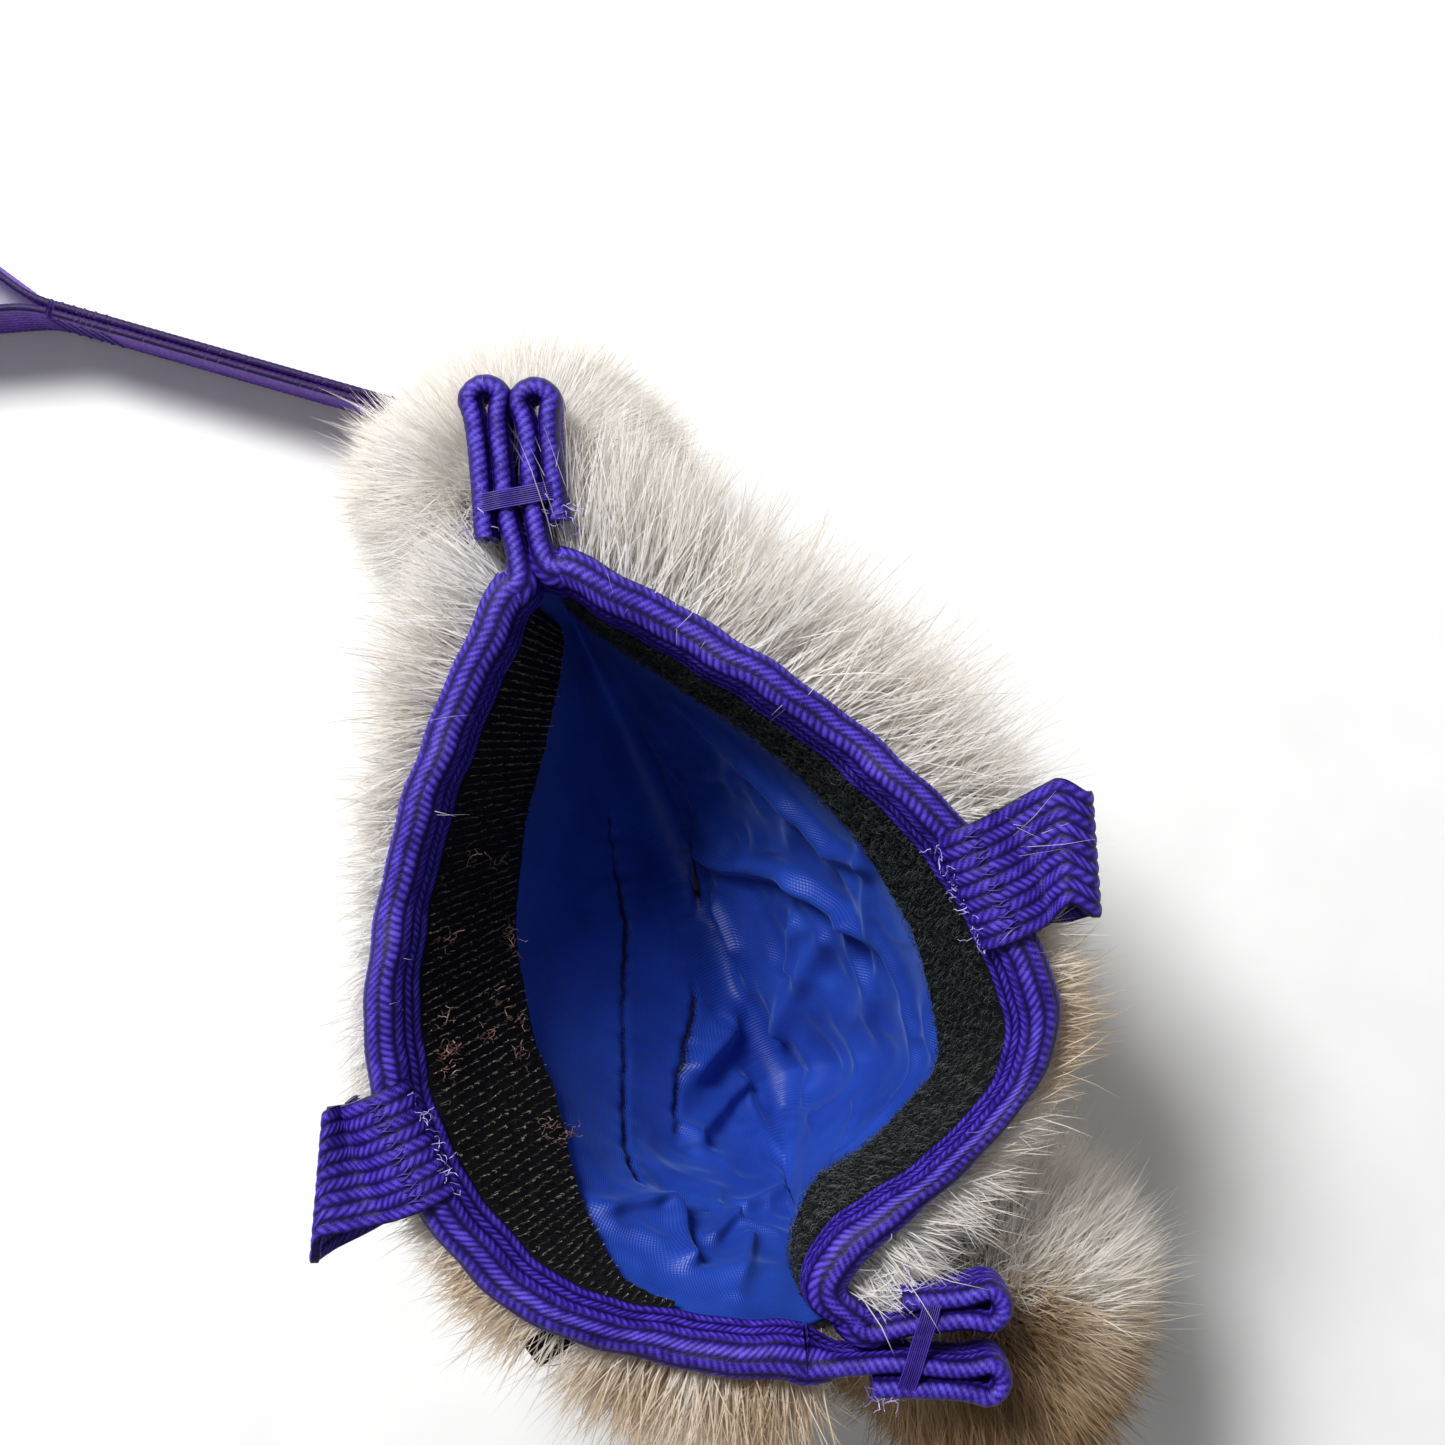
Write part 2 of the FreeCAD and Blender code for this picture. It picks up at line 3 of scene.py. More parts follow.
import bpy
import numpy as np
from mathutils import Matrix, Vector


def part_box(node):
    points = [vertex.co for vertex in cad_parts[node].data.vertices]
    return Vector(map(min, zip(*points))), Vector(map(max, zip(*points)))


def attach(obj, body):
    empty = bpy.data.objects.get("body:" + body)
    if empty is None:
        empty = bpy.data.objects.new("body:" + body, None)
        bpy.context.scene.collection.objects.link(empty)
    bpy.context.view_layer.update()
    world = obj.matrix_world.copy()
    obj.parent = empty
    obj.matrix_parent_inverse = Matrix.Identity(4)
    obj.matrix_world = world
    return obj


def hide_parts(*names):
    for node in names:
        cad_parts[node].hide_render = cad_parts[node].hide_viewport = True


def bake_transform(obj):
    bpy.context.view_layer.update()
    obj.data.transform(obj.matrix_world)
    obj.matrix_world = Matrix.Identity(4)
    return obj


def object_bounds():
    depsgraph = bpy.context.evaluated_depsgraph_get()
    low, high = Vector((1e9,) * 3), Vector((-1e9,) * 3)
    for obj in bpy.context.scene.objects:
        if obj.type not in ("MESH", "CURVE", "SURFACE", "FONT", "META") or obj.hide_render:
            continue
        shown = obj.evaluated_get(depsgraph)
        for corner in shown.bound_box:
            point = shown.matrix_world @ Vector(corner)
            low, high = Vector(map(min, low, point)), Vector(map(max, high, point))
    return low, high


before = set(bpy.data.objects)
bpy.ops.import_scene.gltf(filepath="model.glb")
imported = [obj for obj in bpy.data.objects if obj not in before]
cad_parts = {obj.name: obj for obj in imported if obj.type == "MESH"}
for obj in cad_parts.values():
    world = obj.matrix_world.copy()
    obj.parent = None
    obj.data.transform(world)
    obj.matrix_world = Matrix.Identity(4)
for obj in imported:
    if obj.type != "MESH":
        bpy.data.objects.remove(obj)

CAD_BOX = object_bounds()
MM = 0.001
UP = np.array([0.0, 0.0, 1.0])

# ---------------- sizes

# Heights: of the ears over the lips, of the lips, and of the rolled seams that the walls flex about.
EAR_LIFT = 1.5 * MM
LIP_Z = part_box("top_ear_hook_fold")[1].z - EAR_LIFT
ROLL_Z = (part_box("hook_seam_roll")[0].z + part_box("hook_seam_roll")[1].z) / 2
# The webbing: width, thickness, relief, width of a rib and length of a yarn's turn.
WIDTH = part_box("neck_ply_left")[1].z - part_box("neck_ply_left")[0].z
WEBBING = 1.8 * MM
RELIEF = 0.34 * MM
RIB = WIDTH / 9
YARN = 1.6 * MM
# Steps of a mesh along webbing, and places across it.
FINE = 0.3 * MM
ACROSS = np.linspace(0, WIDTH, int(WIDTH / (0.45 * MM)))
# The binding: how deep it reaches, the radius of its arch, and the arch's place over the lip.
BINDING_DEPTH = 9.5 * MM
ARCH = 3.45 * MM
ARCH_OUT = 0.6 * MM
LIP_ROUND = 0.9 * MM
EAR_ARCH = 1.2 * MM
# The tapes: width, the station where they end, and the share of the width that shows by station.
TAPE_WIDTH = {"hook": 36 * MM, "loop": 23 * MM}
TAPE_END = {"hook": 6.7, "loop": 9.7}
TAPE_SHARES = {
    "hook": ((4.2, 1.0), (4.85, 0.76), (5.6, 0.52), (6.2, 0.2), (6.7, 0.1)),
    "loop": ((2.5, 0.75), (4.2, 0.9), (4.9, 1.15), (6.0, 1.25), (7.5, 1.1), (9.7, 1.0)),
}
TAPE_OUT = -2.6 * MM
TAPE_HALF = 0.8 * MM
# The hide without its fur, how far the walls belly out, and the sharpest smoothed edge in degrees.
SKIN = 4.5 * MM
BELLY = 8 * MM
SHARP_ANGLE = 75
# The fur stays inside the CAD's box widened by this much.
FUR_ROOM = 10 * MM + 0.022 * np.array(CAD_BOX[1] - CAD_BOX[0])
FUR_BOX = (np.array(CAD_BOX[0]) - FUR_ROOM, np.array(CAD_BOX[1]) + FUR_ROOM)

# Stations of each wall in millimetres: lip x, lip y, keel x, keel y, keel rise over the rolls.
WALLS = {
    "hook": [
        (-5, 83, -2.5, 77, 34),
        (-29, 62, -5, 50, 12),
        (-51, 36, -6, 30, 0),
        (-64.5, 12, -6, 12, 0),
        (-69.5, -11, -6, -11, 0),
        (-65.5, -36, -6, -36, 0),
        (-54, -55, -9, -46, 0),
        (-33, -71, -8, -55, 12),
        (-12, -82, -6, -63, 28),
    ],
    "loop": [
        (5, 83, 2.5, 77, 34),
        (24, 60, 5, 50, 12),
        (42, 34, 6, 30, 0),
        (53, 12, 6, 12, 0),
        (59, -8, 6, -8, 0),
        (59, -36, 6, -36, 0),
        (45, -51, 8, -45, 0),
        (22, -60, 6, -51, 14),
        (5, -64, 1, -57, 32),
        (-3, -71, -7, -70, 46),
        (0, -79, -4, -78, 56),
    ],
}
# The middle of the bottom strip, and the line where both sides of the lining meet: y, x and rise.
BOTTOM = [(70, 0, 26), (50, 0, 10), (32, 0, 0), (-44, 0, 0), (-51, 0, 3), (-58, 0, 15)]
LINING_MIDDLE = [
    (80, 0, 34), (70, 0, 26), (50, 0, 10), (32, 0, 0), (-44, 0, 0),
    (-51, -1, 6), (-57, -3, 18), (-63, -6, 30), (-70, -8, 47), (-82, -8, 60),
]

# How far the fur stands out beyond the lip at each station, in millimetres.
REACH = {
    "hook": (22, 17, 11, 9, 8, 9, 18, 24, 24),
    "loop": (26, 30, 29, 27, 17, 12, 14, 17, 18, 18, 18),
}
# The share of the lining's rows that lie on the wall. The rest round off into the bottom.
LINING_KNEE = 0.84
TAB_STATION = 4
LABEL_STATION = 6.1

# Folded binding ends: name, start x and y in millimetres, heading in degrees, length in
# millimetres, and side of the outgoing ply.
EARS = [
    ("top_ear_hook_fold", -4.7, 91.4, 72.5, 29.5, 1),
    ("top_ear_loop_fold", 5.3, 90.4, 72.5, 26.0, -1),
    ("low_ear_hook_fold", -3.0, -88.5, -26.0, 25.0, -1),
    ("low_ear_loop_fold", 7.2, -80.2, -18.0, 19.0, 1),
]

# Folds of the lining: points in millimetres, width and height of the ridge.
FOLDS = [
    ([(6, 0, 14), (7, -10, 16), (2, -21, 14), (-6, -28, 15), (-15, -32, 29)], 3.2, 4.5),
    ([(-9, -42, 18), (-14, -44, 27), (-20, -45, 37)], 3.0, 3.5),
    ([(8, 15, 17), (12, 10, 26), (21, 3, 43), (28, -7, 54), (32, -14, 62)], 2.6, 3.4),
    ([(22, 30, 56), (30, 15, 64), (33, 7, 67), (39, 2, 78)], 3.0, 2.6),
    ([(23, -14, 45), (14, -25, 28), (8, -33, 18)], 3.0, 3.6),
    ([(19, -8, 38), (15, -18, 31)], 2.4, 3.0),
    ([(-45, -43, 81), (-34, -50, 67)], 2.2, 3.2),
    ([(-33, -53, 68), (-32, -61, 85)], 2.4, 3.4),
    ([(-26, -61, 74), (-21, -61, 65)], 2.2, 3.0),
    ([(-16, -61, 56), (-8, -64, 49)], 2.4, 3.0),
    ([(-19, -66, 73), (-22, -70, 92)], 2.6, 3.2),
]
SEAMS = [
    [(-10, 31, 24), (-16, 5, 30), (-26, -22, 46), (-35, -42, 63), (-35, -48, 67)],
    [(5, 21, 11), (0, 5, 11), (-11, -21, 22), (-17, -30, 32), (-22, -42, 41), (-24, -57, 63)],
]
PANEL_EDGE = [(44, 15, 95), (39, 2, 78), (33, -17, 63), (25, -35, 49), (16, -50, 48), (9, -55, 60)]


# ---------------- curves and walls

def unit(v):
    return v / np.maximum(np.linalg.norm(v, axis=-1, keepdims=True), 1e-9)


def smooth(t):
    t = np.clip(t, 0, 1)
    return t * t * (3 - 2 * t)


def spline(points, at):
    """A natural cubic spline through points at 0, 1, 2 and so on, read at the numbers in at."""
    p = np.asarray(points, float)
    count = len(p)
    system, right = np.eye(count), np.zeros_like(p)
    for i in range(1, count - 1):
        system[i, i - 1:i + 2] = (1, 4, 1)
        right[i] = 6 * (p[i - 1] - 2 * p[i] + p[i + 1])
    bend = np.linalg.solve(system, right)
    at = np.clip(np.asarray(at, float), 0, count - 1)
    k = np.minimum(at.astype(int), count - 2)
    t = (at - k)[..., None]
    s = 1 - t
    return p[k] * s + p[k + 1] * t + (s**3 - s) * bend[k] / 6 + (t**3 - t) * bend[k + 1] / 6


def arc_length(points):
    """The distance along a line of points, at each of them."""
    return np.concatenate([[0], np.cumsum(np.linalg.norm(np.diff(points, axis=0), axis=1))])


def read_at(at, arc, points):
    """A line read at the distances at. Its own points lie at the distances arc."""
    return np.stack([np.interp(at, arc, points[:, k]) for k in range(points.shape[1])], axis=1)


def path_through(points, step):
    """Points a step apart along a spline, and their distance along it."""
    fine = spline(points, np.linspace(0, len(points) - 1, 60 * len(points)))
    arc = arc_length(fine)
    at = np.linspace(0, arc[-1], max(2, int(arc[-1] / step)))
    return read_at(at, arc, fine), at


def direction(heading):
    return np.array([math.cos(heading), math.sin(heading), 0])


def joined(*parts):
    """Numbers or grids side by side as the last axis, which is how marks are held."""
    return np.stack(np.broadcast_arrays(*parts), axis=-1)


def wobble(points, scale, seed):
    """Smooth noise from -1 to 1 at each point, about scale across."""
    cells = np.random.default_rng(seed).uniform(-1, 1, (32, 32, 32))
    at = points / scale
    base = np.floor(at).astype(int)
    t = smooth(at - base)
    total = np.zeros(points.shape[:-1])
    for corner in np.ndindex(2, 2, 2):
        weight = np.prod(np.where(corner, t, 1 - t), axis=-1)
        index = (base + corner) % 32
        total += weight * cells[index[..., 0], index[..., 1], index[..., 2]]
    return total


LIP = {side: [(x * MM, y * MM, LIP_Z) for x, y, *_ in rows] for side, rows in WALLS.items()}
KEEL = {side: [(x * MM, y * MM, ROLL_Z + rise * MM) for _, _, x, y, rise in rows]
        for side, rows in WALLS.items()}
SCALES = {}
for each_side, side_rows in WALLS.items():
    scale_at = np.linspace(0, len(side_rows) - 1, 900)
    SCALES[each_side] = (scale_at, arc_length(spline(LIP[each_side], scale_at)))


def last_station(side):
    return len(WALLS[side]) - 1


def other_side(side):
    return "loop" if side == "hook" else "hook"


def even_stations(side, step, first=0.0, last=None):
    """Stations a step apart along the lip, and their distance along it."""
    at, arc = SCALES[side]
    last = last_station(side) if last is None else last
    begin, end = np.interp((first, last), at, arc)
    along = np.linspace(begin, end, max(2, int((end - begin) / step)))
    return np.interp(along, arc, at), along


def wall_axes(side, station):
    """Lip, direction up the wall, outward normal and height of the wall at each station."""
    lip, keel = spline(LIP[side], station), spline(KEEL[side], station)
    rise = unit(lip - keel)
    level = unit((lip - keel) * (1, 1, 0))
    outward = unit(level * rise[..., 2:] - UP * np.sum(rise * level, axis=-1, keepdims=True))
    return lip, rise, outward, np.linalg.norm(lip - keel, axis=-1)


def wall(side, station, drop, out):
    """A grid of wall points and normals. Drop is a grid of station by place, as out may be."""
    lip, rise, outward, height = (a[:, None] for a in wall_axes(side, station))
    bowed = height - BINDING_DEPTH - TAPE_WIDTH[side] - MM
    share = np.clip((height - drop) / bowed, 0, 1)
    bow = BELLY * bowed / LIP_Z * 4 * share * (1 - share)
    along = np.interp(station, *SCALES[side])[:, None]
    fade = np.exp(-np.maximum(drop, 0) / (14 * MM))
    ripple = 0.4 * MM * np.sin(along / (2.6 * MM)) * np.sin(along / (11 * MM) + 1) * fade
    lift = 0.8 * MM * np.sin(along / (6.3 * MM) + 0.6) * fade
    points = lip - rise * drop[..., None] + outward * (out + bow + ripple)[..., None]
    return points + UP * lift[..., None], np.broadcast_to(outward, points.shape)


def lip_edge(side, station):
    """The middle of the binding's arch, just over the lip."""
    points, _ = wall(side, station, np.full((len(station), 1), -LIP_ROUND), ARCH_OUT)
    return points[:, 0]


def closed(own, other=None):
    """Rows with one more at each end, half way to the other side's end row."""
    other = own if other is None else other
    first, last = (own[:1] + other[:1]) / 2, (own[-1:] + other[-1:]) / 2
    return np.concatenate([first, own, last])


# ---------------- meshes

def in_scene(name, data):
    added = bpy.data.objects.new(name, data)
    bpy.context.scene.collection.objects.link(added)
    return added


def add_piece(name, points, faces, marks, material):
    """A mesh object. Marks are three numbers for each point, which its material reads."""
    mesh = bpy.data.meshes.new(name)
    mesh.from_pydata(points.reshape(-1, 3).tolist(), [], faces.tolist())
    layer = mesh.attributes.new("marks", "FLOAT_VECTOR", "POINT")
    layer.data.foreach_set("vector", marks.reshape(-1, 3).astype(np.float32).ravel())
    mesh.shade_smooth()
    mesh.set_sharp_from_angle(angle=math.radians(SHARP_ANGLE))
    mesh.materials.append(material)
    piece = in_scene(name, mesh)
    return piece


def slab(name, middle, normal, half, relief, marks, material, under=None):
    """A closed sheet round a grid of middle points, with relief on its top, and on its underside."""
    rows, columns = middle.shape[:2]
    under = np.zeros((rows, columns)) if under is None else under
    top = middle + normal * (half + relief)[..., None]
    low = middle - normal * (half + under)[..., None]
    index = np.arange(rows * columns).reshape(rows, columns)
    count = rows * columns

    def ribbon(a, b):
        return np.stack([a[:-1], a[1:], b[1:], b[:-1]], axis=-1).reshape(-1, 4)

    face = np.stack([index[:-1, :-1], index[1:, :-1], index[1:, 1:], index[:-1, 1:]], axis=-1)
    face = face.reshape(-1, 4)
    rims = [ribbon(edge, edge + count) for edge in (index[:, 0], index[:, -1], index[0], index[-1])]
    faces = np.concatenate([face, face[:, ::-1] + count, *rims])
    points = np.concatenate([top.reshape(-1, 3), low.reshape(-1, 3)])
    marks = np.concatenate([marks.reshape(-1, 3)] * 2)
    return add_piece(name, points, faces, marks, material)


def tubes(name, paths, radius, marks, material, sides=3):
    """Thin tubes along paths: an array of tubes by points by three."""
    count, length = paths.shape[:2]
    along = unit(np.gradient(paths, axis=1))
    aside = unit(np.cross(along, unit(along[:, :1] * (0.3, 1.7, 0.9) + (0.41, 0.13, -0.27))))
    above = np.cross(along, aside)
    turn = 2 * math.pi * np.arange(sides) / sides
    ring = (aside[:, :, None] * np.cos(turn)[:, None] + above[:, :, None] * np.sin(turn)[:, None])
    taper = np.full(length, 1.0)
    taper[-1] = 0.45
    points = paths[:, :, None] + ring * (radius * taper)[None, :, None, None]
    index = np.arange(count * length * sides).reshape(count, length, sides)
    after = np.roll(index, -1, axis=2)
    faces = np.stack([index[:, :-1], after[:, :-1], after[:, 1:], index[:, 1:]], axis=-1)
    marks = np.repeat(marks[:, None], length * sides, axis=1)
    return add_piece(name, points, faces.reshape(-1, 4), marks, material)


def webbing_relief(along, across):
    """Height from 0 to 1 of the webbing's lengthwise ribs of slanted yarns."""
    rib = across / RIB
    row = np.floor(rib)
    share = rib - row
    slant = np.where(row % 2 == 0, 1, -1) * (share - 0.5) * 1.5
    drift = 0.2 * np.sin(along / (3.7 * MM) + 2.3 * row)
    yarn = np.abs(np.sin(math.pi * (along / YARN + slant + drift)))
    return np.sqrt(np.clip(np.sin(math.pi * share), 0, 1)) * (0.15 + 0.85 * yarn**0.7)


def webbing_slab(name, middle, normal, along, across, material=None):
    """Webbing over a grid of middle points, with its ribs on both faces."""
    high = webbing_relief(*np.broadcast_arrays(along, across))
    marks = joined(along, across, high)
    relief = RELIEF * high
    half = WEBBING / 2 - RELIEF / 2
    return slab(name, middle, normal, half, relief, marks, material or WEBBING_LOOK, relief)


def folded_webbing(name, origin, outward, up, along, arch):
    """Webbing folded lengthwise over an edge, as an arch with two legs. Arch is the radius of the
    arch at each place along.
    """
    arch = arch[:, None]
    across = ACROSS[None]
    leg = (WIDTH - math.pi * arch) / 2
    turn = np.clip((across - leg) / arch, 0, math.pi)[..., None]
    below = np.maximum(leg - across, 0) + np.maximum(across - leg - math.pi * arch, 0)
    height = arch[..., None] * (np.sin(turn) - 1) - below[..., None]
    outward, up = outward[:, None], up[:, None]
    middle = origin[:, None] + outward * arch[..., None] * np.cos(turn) + up * height
    normal = outward * np.cos(turn) + up * np.sin(turn)
    return webbing_slab(name, middle, normal, along[:, None], across)


# ---------------- materials

def new_material(name, roughness, specular=0.5):
    material = bpy.data.materials.new(name)
    material.use_nodes = True
    tree = material.node_tree
    shader = tree.nodes["Principled BSDF"]
    shader.inputs["Roughness"].default_value = roughness
    shader.inputs["Specular IOR Level"].default_value = specular
    return material, tree, shader


def read_marks(tree):
    """The three marks of a piece as separate sockets."""
    marks = add_node(tree, "Attribute")
    marks.attribute_name = "marks"
    return add_node(tree, "SeparateXYZ", Vector=marks.outputs["Vector"]).outputs


def add_node(tree, kind, **inputs):
    """A node whose inputs are linked to sockets or set to numbers."""
    node = tree.nodes.new("ShaderNode" + kind)
    for name, value in inputs.items():
        if isinstance(value, bpy.types.NodeSocket):
            tree.links.new(value, node.inputs[name])
        else:
            node.inputs[name].default_value = value
    return node


def noise(tree, scale, detail, rough=0.55):
    place = add_node(tree, "TexCoord").outputs["Object"]
    texture = add_node(tree, "TexNoise", Scale=scale, Detail=detail, Roughness=rough, Vector=place)
    return texture.outputs["Fac"]


def math_node(tree, kind, *values):
    """A sum of sockets and numbers. MULTIPLY_ADD is the first times the second, plus the third."""
    node = add_node(tree, "Math")
    node.operation = kind
    for socket, value in zip(node.inputs, values):
        if isinstance(value, (int, float)):
            socket.default_value = value
        else:
            tree.links.new(value, socket)
    return node.outputs[0]


def paint(tree, shader, factor, stops):
    """Base colour from a ramp through stops of place and linear colour."""
    node = add_node(tree, "ValToRGB", Fac=factor)
    elements = node.color_ramp.elements
    while len(elements) < len(stops):
        elements.new(0.5)
    for element, (place, colour) in zip(elements, stops):
        element.position = place
        element.color = (*colour, 1)
    tree.links.new(node.outputs[0], shader.inputs["Base Color"])
    return node.outputs[0]


def bump(tree, shader, height, strength, distance):
    node = add_node(tree, "Bump", Strength=strength, Distance=distance, Height=height)
    tree.links.new(node.outputs[0], shader.inputs["Normal"])


def webbing_look(name, painted_valley_shade, middle, painted_crest_highlight):
    """Knitted webbing with fine filaments along its yarns. Its colour follows the relief: painted shade
    between the yarns and a painted highlight on their crests.
    """
    material, tree, shader = new_material(name, 0.5, 0.3)
    _, _, high = read_marks(tree)
    # The ramp by relief paints shade into the valleys between yarns and a highlight on their crests. The
    # noise is the yarns' own tone.
    shade = math_node(tree, "SUBTRACT", math_node(tree, "ADD", high, noise(tree, 420, 4)), 0.5)
    paint(tree, shader, shade, [(0.15, painted_valley_shade), (0.6, middle), (1.0, painted_crest_highlight)])
    bump(tree, shader, noise(tree, 3200, 2), 0.55, 0.25 * MM)
    return material


def lining_look():
    """Royal blue nylon: satin gloss, a fine diagonal weave and dark sewn seams."""
    material, tree, shader = new_material("lining_nylon", 0.46, 0.4)
    along, across, seam = read_marks(tree)
    slant = math_node(tree, "MULTIPLY_ADD", across, 0.8, along)
    twill = math_node(tree, "SINE", math_node(tree, "MULTIPLY", slant, 2 * math.pi / (0.75 * MM)))
    weft = math_node(tree, "SINE", math_node(tree, "MULTIPLY", across, 2 * math.pi / (0.6 * MM)))
    weave = math_node(tree, "MULTIPLY_ADD", weft, 0.5, twill)
    tone = math_node(tree, "MULTIPLY_ADD", weave, 0.09, noise(tree, 55, 4))
    tone = math_node(tree, "SUBTRACT", tone, seam)
    blue = [(0.0, (0.0005, 0.001, 0.012)), (0.3, (0.006, 0.030, 0.27)), (0.75, (0.014, 0.062, 0.42))]
    paint(tree, shader, tone, blue)
    bump(tree, shader, weave, 0.3, 0.12 * MM)
    shader.inputs["Sheen Weight"].default_value = 0.25
    shader.inputs["Sheen Roughness"].default_value = 0.4
    shader.inputs["Sheen Tint"].default_value = (0.3, 0.5, 1.0, 1)
    return material


def tape_look(name, dark, pale, scale):
    """Black tape with a fine paler fuzz."""
    material, tree, shader = new_material(name, 0.85, 0.25)
    speckle = noise(tree, scale, 4, rough=0.7)
    paint(tree, shader, speckle, [(0.35, dark), (0.6, [c * 2 for c in dark]), (0.78, pale)])
    bump(tree, shader, speckle, 0.8, 0.5 * MM)
    return material


def thread_look(name, low, high, roughness=0.45):
    """Thin threads or hooks that differ from one to the next."""
    material, tree, shader = new_material(name, roughness)
    _, chance, _ = read_marks(tree)
    shade = math_node(tree, "MULTIPLY_ADD", noise(tree, 900, 2), 0.3, chance)
    paint(tree, shader, shade, [(0.1, low), (1.0, high)])
    bump(tree, shader, noise(tree, 5200, 2), 0.3, 0.1 * MM)
    return material


# The places of a hair's points along it, and its width at all but its tip.
HAIR_STEPS = (0.0, 0.34, 0.7, 1.0)
HAIR_TAPER = np.array([0.9, 1.0, 0.75])
LAYER = 8 * MM
HAIRS = 38000
STRAY_SHARE = 0.07
FUR_STOPS = [
    (0.0, (0.30, 0.31, 0.33)),
    (0.2, (0.90, 0.89, 0.87)),
    (0.45, (0.70, 0.58, 0.44)),
    (0.72, (0.40, 0.26, 0.13)),
    (1.0, (0.10, 0.055, 0.025)),
]


def fur_look(name, is_hair):
    """Soft fur: marks give how far along the hair a point is, the hair's own shade, and its hue."""
    material, tree, shader = new_material(name, 0.6 if is_hair else 0.9, 0.3)
    _, chance, hue = read_marks(tree)
    shade = math_node(tree, "MULTIPLY_ADD", chance, 0.08, hue)
    patches = math_node(tree, "SUBTRACT", noise(tree, 70, 3), 0.5)
    shade = math_node(tree, "MULTIPLY_ADD", patches, 0.12, shade)
    colour = paint(tree, shader, shade, FUR_STOPS)
    if not is_hair:
        bump(tree, shader, noise(tree, 900, 4), 0.9, 1.2 * MM)
        return material
    through = add_node(tree, "BsdfTranslucent", Color=colour)
    mix = add_node(tree, "MixShader", Fac=0.42)
    tree.links.new(shader.outputs[0], mix.inputs[1])
    tree.links.new(through.outputs[0], mix.inputs[2])
    tree.links.new(mix.outputs[0], tree.nodes["Material Output"].inputs["Surface"])
    return material


# Valley, middle and crest colours of each webbing. The valley colour is painted shade and the crest
# colour is a painted highlight.
VIOLET = ((0.004, 0.001, 0.045), (0.025, 0.006, 0.23), (0.085, 0.055, 0.56))
PURPLE = ((0.014, 0.001, 0.06), (0.085, 0.012, 0.33), (0.19, 0.07, 0.60))
WEBBING_LOOK = webbing_look("webbing_violet", *VIOLET)
STRAP_LOOK = webbing_look("webbing_purple", *PURPLE)
LINING_LOOK = lining_look()
HOOK_TAPE_LOOK = tape_look("hook_tape_black", (0.001, 0.001, 0.0015), (0.010, 0.009, 0.009), 900)
LOOP_TAPE_LOOK = tape_look("loop_tape_black", (0.001, 0.0015, 0.0015), (0.012, 0.015, 0.013), 1400)
HOOKS_LOOK = thread_look("hook_tips", (0.004, 0.0035, 0.003), (0.20, 0.18, 0.14), 0.35)
PILE_LOOK = thread_look("loop_pile", (0.001, 0.0015, 0.0015), (0.036, 0.046, 0.042), 0.6)
FRAY_LOOK = thread_look("frayed_thread", (0.16, 0.12, 0.55), (0.62, 0.55, 0.95))
THREAD_LOOK = thread_look("sewing_thread", (0.015, 0.005, 0.13), (0.05, 0.02, 0.32))
LINT_LOOK = thread_look("tape_lint", (0.07, 0.035, 0.03), (0.30, 0.17, 0.13))
LABEL_LOOK = tape_look("label_cloth", (0.004, 0.004, 0.004), (0.03, 0.03, 0.03), 2200)
HAIR_LOOK = fur_look("fur_hair", True)
SKIN_LOOK = fur_look("fur_underside", False)


# ---------------- fur

def hue_of(points):
    """The fur's hue by place: 0 grey, 0.2 white, 0.5 tan, 0.8 brown. The grey patch by the top ear is
    painted shade.
    """
    x, y = points[..., 0] / MM, points[..., 1] / MM
    patch = 0.5 + 0.5 * wobble(points, 11 * MM, 5)
    brown = smooth((-69 - 0.46 * (x + 22) - y + 9 * (patch - 0.5)) / 18)
    tan = 0.22 * np.exp(-((x - 64) ** 2 + (y + 48) ** 2) / 22**2)
    tan += 0.16 * np.exp(-((x + 58) ** 2 + (y + 44) ** 2) / 16**2)
    grey = 0.15 * patch * np.exp(-((x + 62) ** 2 + (y - 27) ** 2) / 20**2)
    # Painted shade: the grey by the top ear stands for the shadow on the fur there. The grey patch
    # above, on the hook wall, is the underfur's own colour.
    grey += 0.10 * np.exp(-((x + 12) ** 2 + (y - 92) ** 2) / 9**2)
    return 0.2 + (0.26 + 0.3 * patch) * brown + tan - grey


def scatter(fields, weight, count, rng):
    """Random places on a grid, even by area times weight, with every field read there."""
    root = fields["root"]
    edges = root[1:, :-1] - root[:-1, :-1], root[:-1, 1:] - root[:-1, :-1]
    weight = np.broadcast_to(weight, root.shape[:2])
    area = np.linalg.norm(np.cross(*edges), axis=-1) * weight[:-1, :-1]
    cell = rng.choice(area.size, count, p=area.ravel() / area.sum())
    i, j = np.unravel_index(cell, area.shape)
    a, b = rng.random((2, count, 1))
    found = {}
    for name, field in fields.items():
        found[name] = (field[i, j] * (1 - a) * (1 - b) + field[i + 1, j] * a * (1 - b)
                       + field[i, j + 1] * (1 - a) * b + field[i + 1, j + 1] * a * b)
    return found


